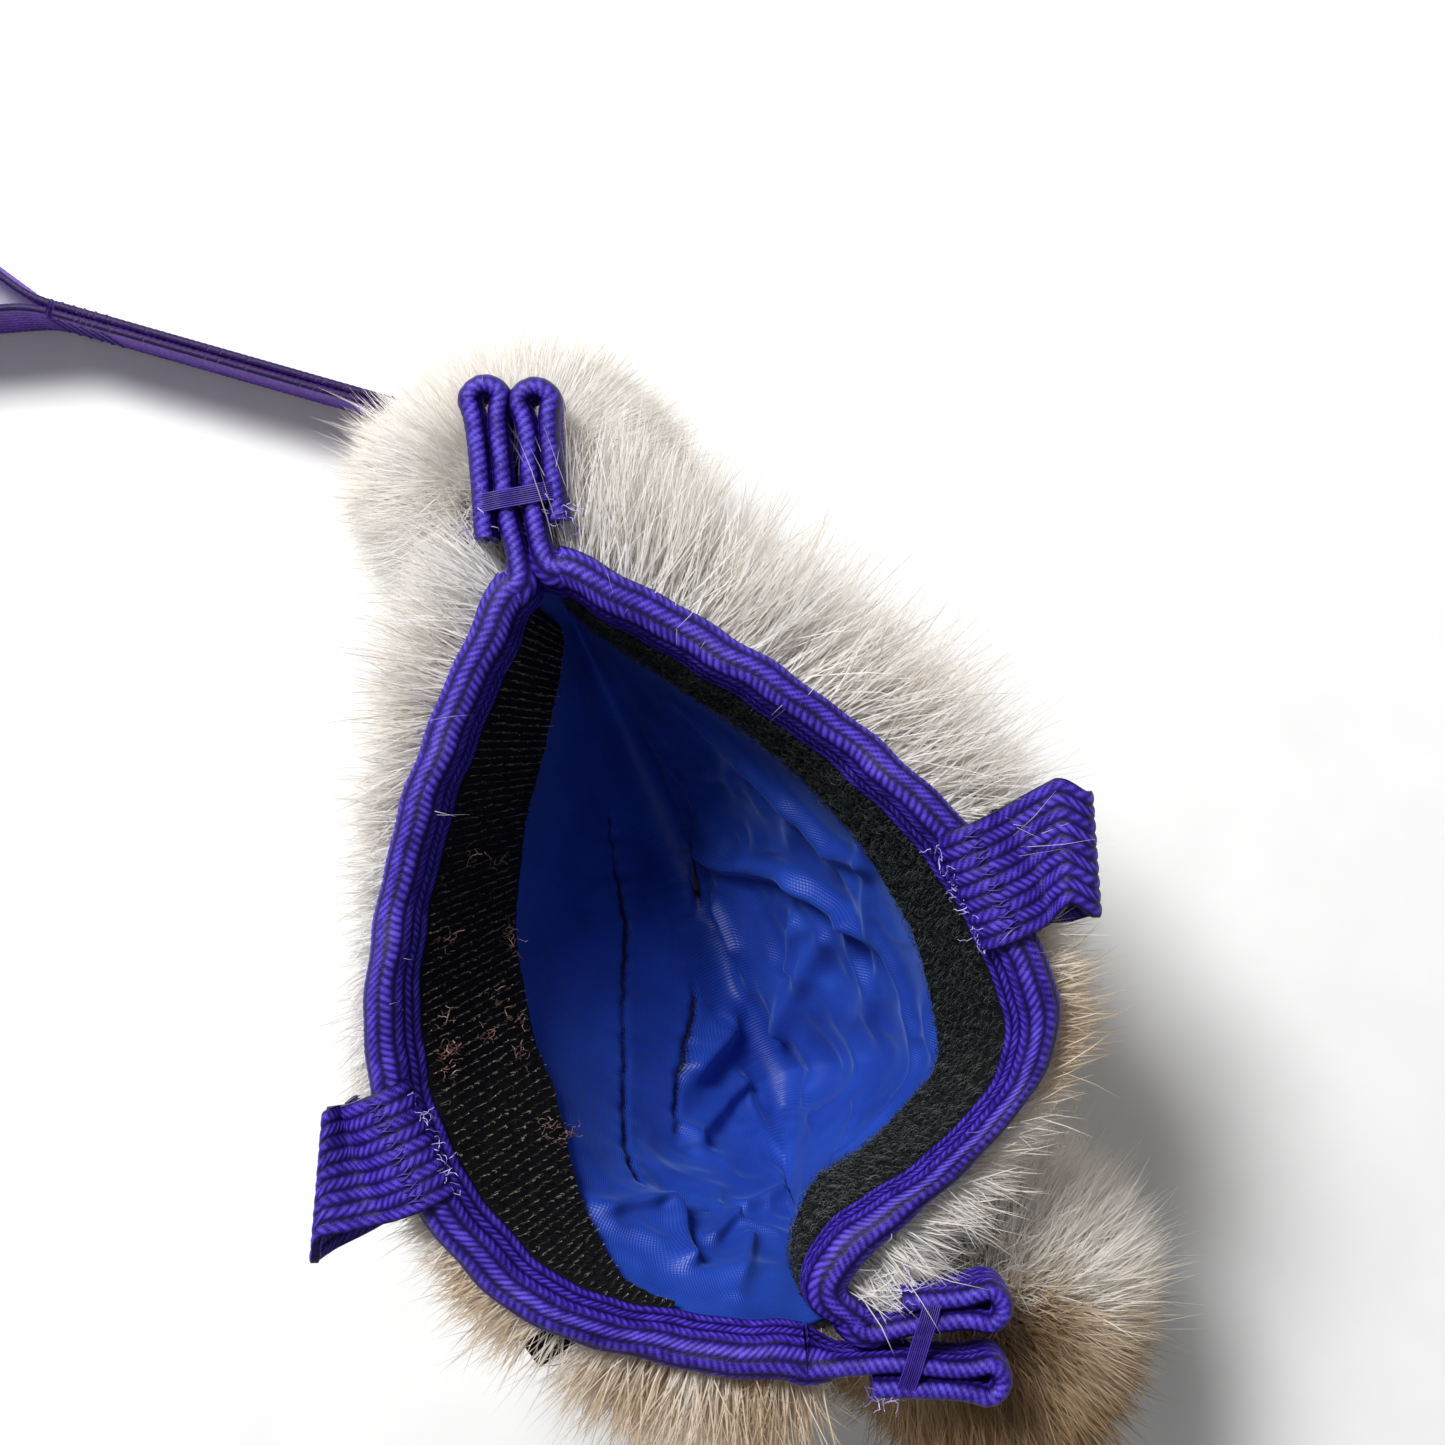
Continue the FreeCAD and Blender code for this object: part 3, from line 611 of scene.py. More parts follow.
def inside_pouch(points):
    """Which points are between the two walls, found in level layers."""
    outline = []
    for side, order in (("hook", 1), ("loop", -1)):
        station, _ = even_stations(side, 4 * MM)
        lip, keel = spline(LIP[side], station), spline(KEEL[side], station)
        outline.append(np.stack([lip, keel], axis=1)[::order])
    lip, keel = np.moveaxis(np.concatenate(outline), 1, 0)
    x, y, z = points[..., 0], points[..., 1], points[..., 2]
    found = np.zeros(x.shape, bool)
    for floor_z in np.arange(0, LIP_Z, LAYER):
        share = np.clip((floor_z + LAYER / 2 - keel[:, 2]) / (lip[:, 2] - keel[:, 2]), 0, 1)[:, None]
        ring = keel + (lip - keel) * share
        chosen = np.nonzero((z >= floor_z) & (z < floor_z + LAYER))
        px, py = x[chosen], y[chosen]
        crossed = np.zeros(px.shape, bool)
        for a, b in zip(ring, np.roll(ring, -1, axis=0)):
            spans = (a[1] > py) != (b[1] > py)
            if a[1] != b[1]:
                crossed ^= spans & (px < a[0] + (b[0] - a[0]) * (py - a[1]) / (b[1] - a[1]))
        found[chosen] = crossed
    return found


def kept_in_box(path):
    """Hairs that would leave the fur's box, shortened to end at its side."""
    start, tip = path[:, :1], path[:, -1:]
    edge = np.where(tip > start, FUR_BOX[1], FUR_BOX[0])
    share = (edge - start) / np.where(np.abs(tip - start) < 1e-6, 1e-6, tip - start)
    return start + (path - start) * np.clip(share.min(axis=-1, keepdims=True), 0.1, 1)


def skin_marks(points):
    return joined(0, 0.5, hue_of(points))


def combed(points, scale, seed):
    """Smooth noise in each direction, which parts and swirls the fur."""
    return joined(*(wobble(points + k, scale, seed) for k in (0, 1, 2)))


def fur(name, fields, weight, count, seed, thickness=0.28 * MM, clump=9, spread=1.5 * MM):
    """Hairs as thin tapered blades in loose clumps. Fields give, over a grid, the root, the
    direction, the bend and the length of the hairs.
    """
    rng = np.random.default_rng(seed)
    count = int(count * (1.0))
    tufts = scatter(fields, weight, max(1, count // clump), rng)
    tuft = np.arange(count) % len(tufts["root"])
    root, way, bend, length = (tufts[key][tuft] for key in ("root", "way", "bend", "length"))
    shift = rng.normal(0, spread, (count, 3))
    shift -= way * np.sum(shift * way, axis=1, keepdims=True) * 0.6
    stray = rng.random((count, 1)) > 1 - STRAY_SHARE
    long, short = rng.uniform(1.1, 1.35, (count, 1)), rng.uniform(0.55, 1.05, (count, 1))
    length = length * np.where(stray, long, short)
    own, shared = rng.normal(0, 0.13, (count, 3)), rng.normal(0, 0.16, (len(tufts["root"]), 3))
    way = unit(way + own + shared[tuft])
    bend = bend + rng.normal(0, 0.12, (count, 3))
    gather = 0.45 * ~stray
    path = [root + shift * (1 - gather * t) + (way * t + bend * t * t) * length for t in HAIR_STEPS]
    path = kept_in_box(np.stack(path, axis=1))
    path[..., 2] = np.maximum(path[..., 2], MM * (0.5 + 1.5 * rng.random((count, 1))))
    outside = ~inside_pouch(path).any(axis=1)
    path, root, stray = path[outside], root[outside], stray[outside]
    count = len(path)
    along = unit(np.gradient(path, axis=1))
    aside = unit(np.cross(along, unit(UP * 0.8 + rng.normal(0, 0.45, (count, 1, 3)))))
    width = thickness * np.where(stray, 0.75, 1.0)[:, None] * HAIR_TAPER[:, None] / 2
    left, right = path[:, :3] + aside[:, :3] * width, path[:, :3] - aside[:, :3] * width
    pairs = np.stack([left, right], axis=2).reshape(count, 6, 3)
    vertices = np.concatenate([pairs, path[:, 3:]], axis=1)
    blade = np.array([(0, 1, 3), (0, 3, 2), (2, 3, 5), (2, 5, 4), (4, 5, 6)])
    faces = (blade[None] + 7 * np.arange(count)[:, None, None]).reshape(-1, 3)
    place = np.repeat(HAIR_STEPS, (2, 2, 2, 1))
    hue = hue_of(root)[:, None]
    hue = hue + np.where(hue > 0.3, (place - 0.45) * 0.3, 0) + np.where(stray, 0.06, 0)
    marks = joined(place, rng.random((count, 1)), hue)
    return add_piece(name, vertices, faces, marks, HAIR_LOOK)


def wall_fur_fields(side, top, low_share):
    """Fields for the hairs of a wall between two depths."""
    station, _ = even_stations(side, 3 * MM)
    _, _, outward, height = wall_axes(side, station)
    drop = top + (height * low_share - top)[:, None] * np.linspace(0, 1, 24)[None]
    root, normal = wall(side, station, drop, SKIN - MM)
    level = unit(normal * (1, 1, 0))
    depth = smooth(drop / (60 * MM))[..., None]
    comb = combed(root, 26 * MM, 31)
    way = unit(level + UP * (0.2 - 0.75 * depth) + comb * (0.35, 0.35, 0.2) + (0, -0.12, 0))
    bend = -UP * (0.12 + 0.25 * depth) + comb[..., ::-1] * 0.2
    reach = spline(np.array(REACH[side])[:, None] * MM, station)[:, None]
    length = reach * (1 - depth) + 20 * MM * depth + 3 * MM
    return {"root": root, "way": way, "bend": bend, "length": length}


def build_wall_fur(side, seed):
    rim = wall_fur_fields(side, 6 * MM, 0.38)
    skirt = wall_fur_fields(side, 36 * MM, 0.98)
    station, _ = even_stations(side, 3 * MM)
    beside_label = 1 - np.exp(-(((station - LABEL_STATION) / 0.3) ** 2)) * (side == "hook")
    pieces = [
        fur(f"{side}_fur_rim", rim, beside_label[:, None], HAIRS, seed),
        fur(f"{side}_fur_skirt", skirt, 1, HAIRS, seed + 1),
        fur(f"{side}_stray_hairs", stray_fields(side), 1, 120, seed + 2, 0.16 * MM, 2, 3 * MM),
    ]
    for piece in pieces:
        bend_with_wall(piece)


def stray_fields(side):
    """Fields for the guard hairs that cross the binding."""
    station = np.linspace(0.3, last_station(side) - 0.3, 40)
    drop = np.tile((4 * MM, 8 * MM), (40, 1))
    root, normal = wall(side, station, drop, 6 * MM)
    way = unit(UP * 0.75 - normal * 0.15 + (0.1, -0.2, 0))
    bend = -unit(normal * (1, 1, 0)) * 0.45 - UP * 0.2
    return {"root": root, "way": way, "bend": bend, "length": np.full((40, 2, 1), 13 * MM)}


def blob(centre, half, heading):
    """A rounded block as a grid of points and normals."""
    turn = np.linspace(-math.pi, math.pi, 73)[:, None]
    tilt = np.linspace(-math.pi / 2 + 0.02, math.pi / 2 - 0.02, 37)[None]
    way = joined(np.cos(turn) * np.cos(tilt), np.sin(turn) * np.cos(tilt), np.sin(tilt))
    power = 3.0
    size = np.sum(np.abs(way / half) ** power, axis=-1, keepdims=True) ** (-1 / power)
    local = way * size
    normal = unit(np.sign(local) * np.abs(local / half) ** (power - 1) / half)
    c, s = math.cos(heading), math.sin(heading)
    spin = np.array([[c, s, 0], [-s, c, 0], [0, 0, 1]])
    return local @ spin + centre, normal @ spin


def end_sizes(node, long, wide):
    """Middle and half sizes of a closed end, a little inside its CAD solid."""
    low, high = (np.array(corner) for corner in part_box(node))
    inset = np.array([4, 4, 3]) * MM
    return (low + high) / 2, np.array([long / 2, wide / 2, (high - low)[2] / 2]) - inset


def build_end(name, node, heading, long, wide, hair, seed):
    """A closed end of the pouch: a padded form with fur all over it."""
    centre, half = end_sizes(node, long, wide)
    points, normals = blob(centre, half, heading)
    lump = wobble(points, 16 * MM, seed) * 1.6 * MM
    skin = slab(name, points, normals, 0.5 * MM, lump, skin_marks(points), SKIN_LOOK, -lump)
    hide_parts(node)
    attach(skin, "root")
    comb = combed(points, 24 * MM, seed + 3)
    side_on = 1 - np.abs(normals[..., 2:])
    way = unit(normals * (1, 1, 0.8) + comb * 0.4 - UP * 0.35 * side_on)
    fields = {
        "root": points, "way": way, "bend": -UP * 0.3 * side_on + comb * 0.25 + 0 * points,
        "length": np.full(points.shape[:2] + (1,), hair),
    }
    high = smooth((points[..., 2] - centre[2]) / (14 * MM) + 0.5)
    away = normals @ direction(heading)
    clear = (away > -0.45) * (points[..., 2] > 6 * MM) + 0.0
    for part, weight in (("crown", high * clear), ("skirt", (1 - high) * clear)):
        hairs = fur(f"{name}_{part}_fur", fields, weight, HAIRS, seed + len(part))
        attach(hairs, "root")


# ---------------- pieces of the walls

def bend_with_wall(piece):
    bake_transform(piece)


def runs(side, layer):
    return [f"{side}_{layer}_{run}" for run in ("top", "mid", "low")]


def skin_rows(side):
    station, _ = even_stations(side, 1.5 * MM)
    _, _, _, height = wall_axes(side, station)
    corner = smooth(1 - station / 0.5) + smooth(1 - (station[-1] - station) / 0.5)
    top = (2 * MM + 7 * MM * corner)[:, None]
    drop = top + (height[:, None] - 6 * MM - top) * np.linspace(0, 1, 60)[None]
    thick = 2.2 * MM + (SKIN - 2.2 * MM) * smooth((drop - 8 * MM) / (8 * MM))
    points, normals = wall(side, station, drop, thick / 2)
    return points, normals, thick


def build_skin(side, seed):
    """The hide under the fur, clipped thin inside the binding, up to the other side's hide."""
    points, normals, thick = skin_rows(side)
    points = closed(points, skin_rows(other_side(side))[0])
    points[0] += np.array([0, 4, -11]) * MM
    points[-1] += np.array([0, -4, -11]) * MM
    normals, thick = closed(normals), closed(thick)
    lump = 0.5 * MM * wobble(points, 4 * MM, 9)
    half = thick / 2 - 0.1 * MM
    skin = slab(f"{side}_skin", points, normals, half, lump, skin_marks(points), SKIN_LOOK)
    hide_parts(*runs(side, "hide"))
    bend_with_wall(skin)
    for end, rows, ahead in (("top", slice(0, 3), 1), ("low", slice(-3, None), -1)):
        corner = points[rows, 3:]
        flare = unit(normals[rows, 3:] * (1, 0, 0)) * 0.5 - UP * 0.25
        way = unit(flare + (0, ahead, 0))
        length = np.full(corner.shape[:2] + (1,), 13 * MM)
        fields = {"root": corner, "way": way, "bend": way * 0 - UP * 0.25, "length": length}
        hairs = fur(f"{side}_{end}_corner_fur", fields, 1, 5000, seed)
        bend_with_wall(hairs)


def build_binding(side):
    station, along = even_stations(side, FINE)
    _, rise, outward, _ = wall_axes(side, station)
    arch = np.full(len(station), ARCH)
    piece = folded_webbing(f"{side}_binding", lip_edge(side, station), outward, rise, along, arch)
    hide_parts(*runs(side, "binding"))
    bend_with_wall(piece)


def tape_reach(side, station):
    """How far the tape shows below the binding. The hook tape's far end is tucked under."""
    shares = TAPE_SHARES[side]
    return TAPE_WIDTH[side] * np.interp(station, *zip(*shares))


def build_tape(side, material):
    """Tape sewn below the binding, its lower edge slightly wavy."""
    station, along = even_stations(side, 0.8 * MM, 0, TAPE_END[side])
    across = np.linspace(0, 1, int(TAPE_WIDTH[side] / MM) + 2)[None]
    wave = 0.5 * MM * np.sin(along / (5 * MM))[:, None]
    drop = BINDING_DEPTH - MM + (tape_reach(side, station)[:, None] + MM + wave) * across
    points, normals = wall(side, station, drop, TAPE_OUT)
    lump = 0.3 * MM * wobble(points, 1.1 * MM, 14)
    marks = joined(along[:, None], drop, 0)
    piece = slab(f"{side}_tape", points, -normals, TAPE_HALF, lump, marks, material)
    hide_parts(*runs(side, "tape"))
    bend_with_wall(piece)


def tape_places(side, station, drop):
    """Points and inward normals on the tape's face, for a list of places."""
    points, normals = wall(side, station, drop[:, None], TAPE_OUT - TAPE_HALF)
    return points[:, 0], -normals[:, 0]


def build_hooks():
    """Rows of small stiff hooks across the hook tape."""
    rng = np.random.default_rng(3)
    end = np.interp(TAPE_END["hook"], *SCALES["hook"])
    rows = np.arange(2 * MM, end, 2.1 * MM)
    places = np.arange(BINDING_DEPTH + MM, BINDING_DEPTH + TAPE_WIDTH["hook"] - MM, 0.95 * MM)
    along, drop = (grid.ravel() for grid in np.meshgrid(rows, places))
    along = along + rng.normal(0, 0.12 * MM, along.shape)
    station = np.interp(along, SCALES["hook"][1], SCALES["hook"][0])
    kept = drop < BINDING_DEPTH + tape_reach("hook", station) - MM
    along, drop, station = along[kept], drop[kept], station[kept]
    base, inward = tape_places("hook", station, drop)
    _, rise, _, _ = wall_axes("hook", station)
    lean = rise * rng.choice((-1, 1), (len(base), 1)) + rng.normal(0, 0.3, base.shape)
    steps = [(-0.1, 0.0), (0.9, 0.1), (1.25, 0.45), (1.05, 0.85)]
    paths = np.stack([base + (inward * high + lean * side) * MM for high, side in steps], axis=1)
    marks = joined(along, rng.random(len(base)) ** 3, drop)
    piece = tubes("hook_tape_hooks", paths, 0.11 * MM, marks, HOOKS_LOOK)
    bend_with_wall(piece)


def build_pile():
    """Curled loops of fine thread all over the loop tape."""
    rng = np.random.default_rng(4)
    count = 6400
    end = np.interp(TAPE_END["loop"], *SCALES["loop"])
    along = rng.uniform(0, end, count)
    station = np.interp(along, SCALES["loop"][1], SCALES["loop"][0])
    drop = BINDING_DEPTH + (0.01 + 0.98 * rng.random(count)) * tape_reach("loop", station)
    base, inward = tape_places("loop", station, drop)
    aside = unit(np.cross(inward, rng.normal(0, 1, base.shape)))
    size = rng.uniform(0.5, 1.1, (count, 1)) * MM
    paths = []
    for turn in np.linspace(-0.35, 1.2, 6) * math.pi:
        twist = np.cross(inward, aside) * 0.35 * turn
        paths.append(base + size * (aside * math.cos(turn) + inward * (0.25 + math.sin(turn)) + twist))
    paths = np.stack(paths, axis=1)
    marks = joined(along, rng.random(count) ** 1.6, drop)
    piece = tubes("loop_tape_pile", paths, 0.06 * MM, marks, PILE_LOOK)
    bend_with_wall(piece)


# ---------------- lining

def distance_to(points, line):
    """Distance of each point from a line of points in millimetres, and the place along it."""
    line = np.asarray(line, float) * MM
    best = np.full(points.shape[:-1], 1.0)
    place = np.zeros(points.shape[:-1])
    done = 0.0
    for a, b in zip(line[:-1], line[1:]):
        span = b - a
        length = np.linalg.norm(span)
        t = np.clip((points - a) @ span / length**2, 0, 1)
        gap = np.linalg.norm(points - a - t[..., None] * span, axis=-1)
        nearer = gap < best
        best = np.where(nearer, gap, best)
        place = np.where(nearer, done + t * length, place)
        done += length
    return best, place


def lining_rows(side):
    """The smooth lining of one side, from behind its tape down to the middle of the bottom, and the
    same with the wall not bowed out.
    """
    station, along = even_stations(side, 0.9 * MM)
    lip, rise, _, height = wall_axes(side, station)
    share = np.linspace(0, 1, 130)
    down = np.clip(share / LINING_KNEE, 0, 1)[None]
    drop = 12 * MM + (height[:, None] - 17 * MM) * down
    points, normals = wall(side, station, drop, -0.9 * MM)
    flat = lip[:, None] - rise[:, None] * drop[..., None]
    y = spline(KEEL[side], station)[:, 1]
    table = np.array(sorted(LINING_MIDDLE)) * MM
    x, above = read_at(y, table[:, 0], table[:, 1:]).T
    middle = joined(x, y, ROLL_Z - 3 * MM + above)
    knee = (points[:, -1] + middle) / 2
    knee[:, 2] = middle[:, 2]
    t = np.clip((share - LINING_KNEE) / (1 - LINING_KNEE), 0, 1)[None, :, None]
    curve = points[:, -1:] * (1 - t) ** 2 + knee[:, None] * 2 * t * (1 - t) + middle[:, None] * t**2
    points = np.where(t > 0, curve, points)
    flat = np.where(t > 0, curve, flat)
    normals = unit(normals * (1 - t) - UP * t)
    return station, along, drop, points, flat, normals


def lining_height(points, side, free):
    """How far the lining stands in from its smooth shape, and how dark its seams are. Free is 0
    where it is held behind the tape and 1 where it hangs freely.
    """
    rise = np.zeros(points.shape[:-1])
    for line, width, height in FOLDS:
        gap, _ = distance_to(points, line)
        rise += height * MM * np.exp(-((gap / (width * MM)) ** 2))
    z, x, y = points[..., 2] / MM, points[..., 0] / MM, points[..., 1] / MM
    ridges = 1 - np.sqrt(wobble(points * (1, 0.7, 1), 15 * MM, 21) ** 2 + 0.012)
    small = 1 - np.sqrt(wobble(points, 7 * MM, 22) ** 2 + 0.02)
    panel, _ = distance_to(points, PANEL_EDGE)
    if side == "loop":
        below = smooth((82 - z - 0.35 * (y + 10)) / 14)
        loose = below * smooth((x - 2) / 8)
        rise += 1.1 * MM * np.exp(-((panel / (1.6 * MM)) ** 2))
    else:
        loose = smooth((-36 - y) / 12) * smooth((96 - z) / 14)
    rise += (3.6 * ridges**3 + 1.3 * small**2) * MM * loose
    seam_dark = np.zeros_like(rise)
    for line in SEAMS:
        gap, place = distance_to(points, line)
        rise -= 1.6 * MM * np.exp(-((gap / (1.1 * MM)) ** 2))
        puckers = np.sin(place / (0.95 * MM)) * np.sin(place / (3.1 * MM))
        rise += 0.7 * MM * (1 + puckers) * np.exp(-gap / (3.5 * MM))
        seam_dark = np.maximum(seam_dark, 0.75 * np.exp(-((gap / (0.8 * MM)) ** 2)))
    return rise * free, seam_dark * free


def build_lining(side, seam_nodes):
    station, along, drop, points, flat, normals = lining_rows(side)
    held = BINDING_DEPTH + tape_reach(side, station)[:, None]
    y = points[..., 1] / MM
    free = smooth((drop - held) / (8 * MM)) * smooth((62 - y) / 25) * smooth((y + 74) / 10)
    rise, seam = lining_height(flat, side, free)
    both, _ = lining_height(flat, "hook", free)
    middle = smooth(np.linalg.norm(points - points[:, -1:], axis=-1) / (4 * MM))
    rise = np.maximum(rise * middle + both * (1 - middle), -0.5 * MM)
    points = points - normals * rise[..., None]
    points = closed(points, lining_rows(other_side(side))[3])
    normals = closed(normals)
    marks = closed(joined(along[:, None], drop, seam))
    half, nothing = 0.25 * MM, np.zeros(points.shape[:2])
    piece = slab(f"{side}_lining", points, -normals, half, nothing, marks, LINING_LOOK)
    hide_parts(*runs(side, "lining"), *seam_nodes)
    bend_with_wall(piece)


# ---------------- base, ears, label and threads

def build_base():
    """The bottom strip of the hide, which the pouch stands on."""
    table = np.array(BOTTOM) * MM
    y = np.linspace(table[-1, 0], table[0, 0], 90)
    rise = np.interp(y, table[::-1, 0], table[::-1, 2])
    x = np.linspace(-13.5 * MM, 13.5 * MM, 24)
    points = joined(x[None], y[:, None], rise[:, None] + 4 * MM)
    normals = np.broadcast_to(UP, points.shape)
    half = 4 * MM * np.sqrt(np.clip(1 - (np.abs(x) / (13.6 * MM)) ** 4, 0.02, 1))[None]
    lump = 0.25 * MM * wobble(points, 3 * MM, 8)
    piece = slab("base_skin", points, normals, half, lump, skin_marks(points), SKIN_LOOK)
    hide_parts("base_hide")
    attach(piece, "root")


def ear_frame(x, y, heading):
    start = np.array([x * MM, y * MM, LIP_Z + EAR_LIFT - 1.2 * MM])
    forward = direction(math.radians(heading))
    return start, forward, np.cross(UP, forward)


def build_ear(name, x, y, heading, length, hand):
    """A binding end that runs on past the corner, turns back on itself and ends where it began."""
    start, forward, left = ear_frame(x, y, heading)
    side = name.split("_")[2]
    last = last_station(side)
    stations = np.array([last, last - 0.05] if name.startswith("low") else [0, 0.05])
    corner, before = lip_edge(side, stations)
    onward = unit(corner - before)
    inner, bulb = -hand * 2.3, -hand * 3.2
    plan = [(length * 0.2, inner), (length * 0.55, inner * 0.95), (length - 3, inner),
            (length + 1.2, bulb), (length + 3.4, 0), (length + 1.2, -bulb),
            (length - 3, -inner * 1.1), (length * 0.5, -inner), (2.5, -inner * 1.15)]
    points = [corner - onward * 1.6 * MM, corner + onward * 3 * MM]
    points += [start + forward * a * MM + left * b * MM for a, b in plan]
    path, along = path_through(points, FINE)
    ahead = unit(np.gradient(path, axis=0) * (1, 1, 0))
    outward = np.cross(ahead, UP)
    eased = smooth(along / (10 * MM))
    _, rise, _, _ = wall_axes(side, stations)
    upward = unit(rise[:1] * (1 - eased[:, None]) + UP * eased[:, None])
    arch = ARCH + (EAR_ARCH - ARCH) * eased
    piece = folded_webbing(f"{name}_webbing", path, outward, upward, along, arch)
    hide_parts(name)
    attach(piece, "root")
    return start + forward * 4 * MM + left * hand * 4.2 * MM


def stitching(name, paths, radius, chance):
    marks = joined(0, chance, 0)
    return tubes(name, np.stack(paths), radius, marks, THREAD_LOOK, sides=5)


def build_bartack(name, first, second, share):
    """Zigzag thread sewn over both folds of an ear."""
    ends = []
    for _, x, y, heading, length, _ in (first, second):
        start, forward, _ = ear_frame(x, y, heading)
        ends.append(start + forward * length * MM * share)
    span = ends[1] - ends[0]
    reach = unit(span) * 3.2 * MM
    forward = np.cross(unit(span), UP)
    t = np.linspace(0, 1, 14)[:, None]
    rise = (0.7 * np.sin(math.pi * t) - 0.5 * np.abs(np.cos(2 * math.pi * t))) * MM * UP
    paths = []
    for row in range(9):
        offset = forward * (row - 4) * 0.42 * MM + UP * 1.2 * MM
        a = ends[0] - reach + offset
        b = ends[1] + reach + offset + forward * 0.2 * MM
        paths.append(a + (b - a) * t + rise)
    piece = stitching(f"{name}_thread", paths, 0.17 * MM, np.random.default_rng(17).random(len(paths)))
    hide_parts(name)
    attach(piece, "root")


def frayed_threads(name, places, length, count, seed, material=None):
    """Loose curled thread ends round each place. A place is a point and a direction."""
    rng = np.random.default_rng(seed)
    paths = []
    for point, way in places:
        for _ in range(count):
            at = point + rng.normal(0, 1.1 * MM, 3) * (1, 1, 0.5)
            heading = unit(np.asarray(way, float) + rng.normal(0, 0.6, 3))
            steps = [at]
            for _ in range(6):
                heading = unit(heading + rng.normal(0, 0.55, 3) - UP * 0.1)
                at = at + heading * length / 6 * rng.uniform(0.6, 1.2)
                steps.append(at)
            paths.append(np.stack(steps))
    paths = np.stack(paths)
    marks = joined(0, rng.random(len(paths)), 0)
    return tubes(name, paths, 0.09 * MM, marks, material or FRAY_LOOK)


def build_lint():
    """Tufts of fluff caught in the hook tape."""
    rng = np.random.default_rng(61)
    station, drop = rng.uniform(1.2, 4.6, 16), rng.uniform(14, 42, 16) * MM
    points, inward = tape_places("hook", station, drop)
    places = list(zip(points + inward * 1.2 * MM, inward))
    lint = frayed_threads("hook_tape_lint", places, 3 * MM, 9, 62, LINT_LOOK)
    bend_with_wall(lint)


def build_label():
    """A blank folded label caught under the hook lip's binding."""
    lip, rise, outward, _ = (a[0] for a in wall_axes("hook", np.array([LABEL_STATION])))
    ahead = np.cross(rise, outward)
    out = np.linspace(5.0, 16.4, 24)[:, None, None] * MM
    aside = np.linspace(-5.4, 5.4, 26)[None, :, None] * MM
    lift = (out - 5 * MM) * 0.32
    middle = lip + outward * out + ahead * aside + rise * (lift - 8.8 * MM)
    weave = 0.05 * MM * (np.sin(np.arange(24))[:, None] + np.sin(np.arange(26) * 1.3)[None])
    marks = joined(out[..., 0], aside[..., 0], weave)
    normal = np.broadcast_to(rise, middle.shape)
    half = np.full(weave.shape, 0.35 * MM)
    piece = slab("side_label_cloth", middle, normal, half, weave, marks, LABEL_LOOK, weave)
    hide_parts("side_label")
    bend_with_wall(piece)


def build_ears():
    tips = [build_ear(*ear) for ear in EARS]
    build_bartack("top_ear_bartack", EARS[0], EARS[1], 0.32)
    build_bartack("low_ear_bartack", EARS[2], EARS[3], 0.38)
    places = [(tip, (0.2, -0.3, 0.1)) for tip in tips]
    threads = frayed_threads("ear_frayed_threads", places, 6 * MM, 16, 40)
    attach(threads, "root")
    build_label()


# ---------------- pull tabs

# The tab's line in a plane across the lip, in millimetres: out from the lip and up from it.
TAB_LINE = [
    (-5.7, -1.6), (-4.7, 1.2), (-2.2, 3.0), (0.8, 3.5), (4.2, 2.6), (7.4, 0.9), (10.4, 0.9), (13.6, 2.8),
    (17.2, 3.6), (20.6, 1.6), (21.2, -1.8), (18.8, -5.0), (14.8, -5.5), (10.6, -3.9), (7.6, -3.9),
    (6.7, -6.6), (6.6, -9.4),
]
TAB_TWIST = {"hook": 28, "loop": 19}
TAB_LENGTH = {"hook": 0.84, "loop": 1.0}


def build_tab(side):
    """A loop of webbing: over the binding, out to a rounded fold and back under the lip."""
    lip = spline(LIP[side], np.array([TAB_STATION]))[0]
    sign = -1 if side == "hook" else 1
    line, along = path_through([(a * MM, z * MM) for a, z in TAB_LINE], FINE)
    far = smooth((line[:, 0] - 6 * MM) / (13 * MM))
    upper = smooth((len(line) * 0.56 - np.arange(len(line))) / 20)
    out = line[:, 0] - np.maximum(line[:, 0] - 7 * MM, 0) * (1 - TAB_LENGTH[side])
    turn = math.radians(TAB_TWIST[side]) * far
    wide = joined(-np.sin(turn), -np.cos(turn), 0)
    shift = far * (5.5 * upper - 3.0) * MM
    centre = lip + joined(sign * out, shift, line[:, 1])
    middle = centre[:, None] + wide[:, None] * (ACROSS - WIDTH / 2)[:, None]
    dish = np.cos((ACROSS / WIDTH - 0.5) * math.pi)[None] * np.sin(far * math.pi)[:, None]
    middle = middle - UP * (1.1 * MM * dish * upper[:, None])[..., None]
    ahead = unit(np.gradient(middle, axis=0))
    normal = unit(np.cross(ahead, np.broadcast_to(wide[:, None], middle.shape)))
    normal *= np.sign(normal[len(line) // 5, 0, 2])
    piece = webbing_slab(f"{side}_tab_webbing", middle, normal, along[:, None], ACROSS[None])
    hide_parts(f"{side}_tab", f"{side}_tab_anchor")
    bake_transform(piece)
    build_tab_threads(side, lip, sign)


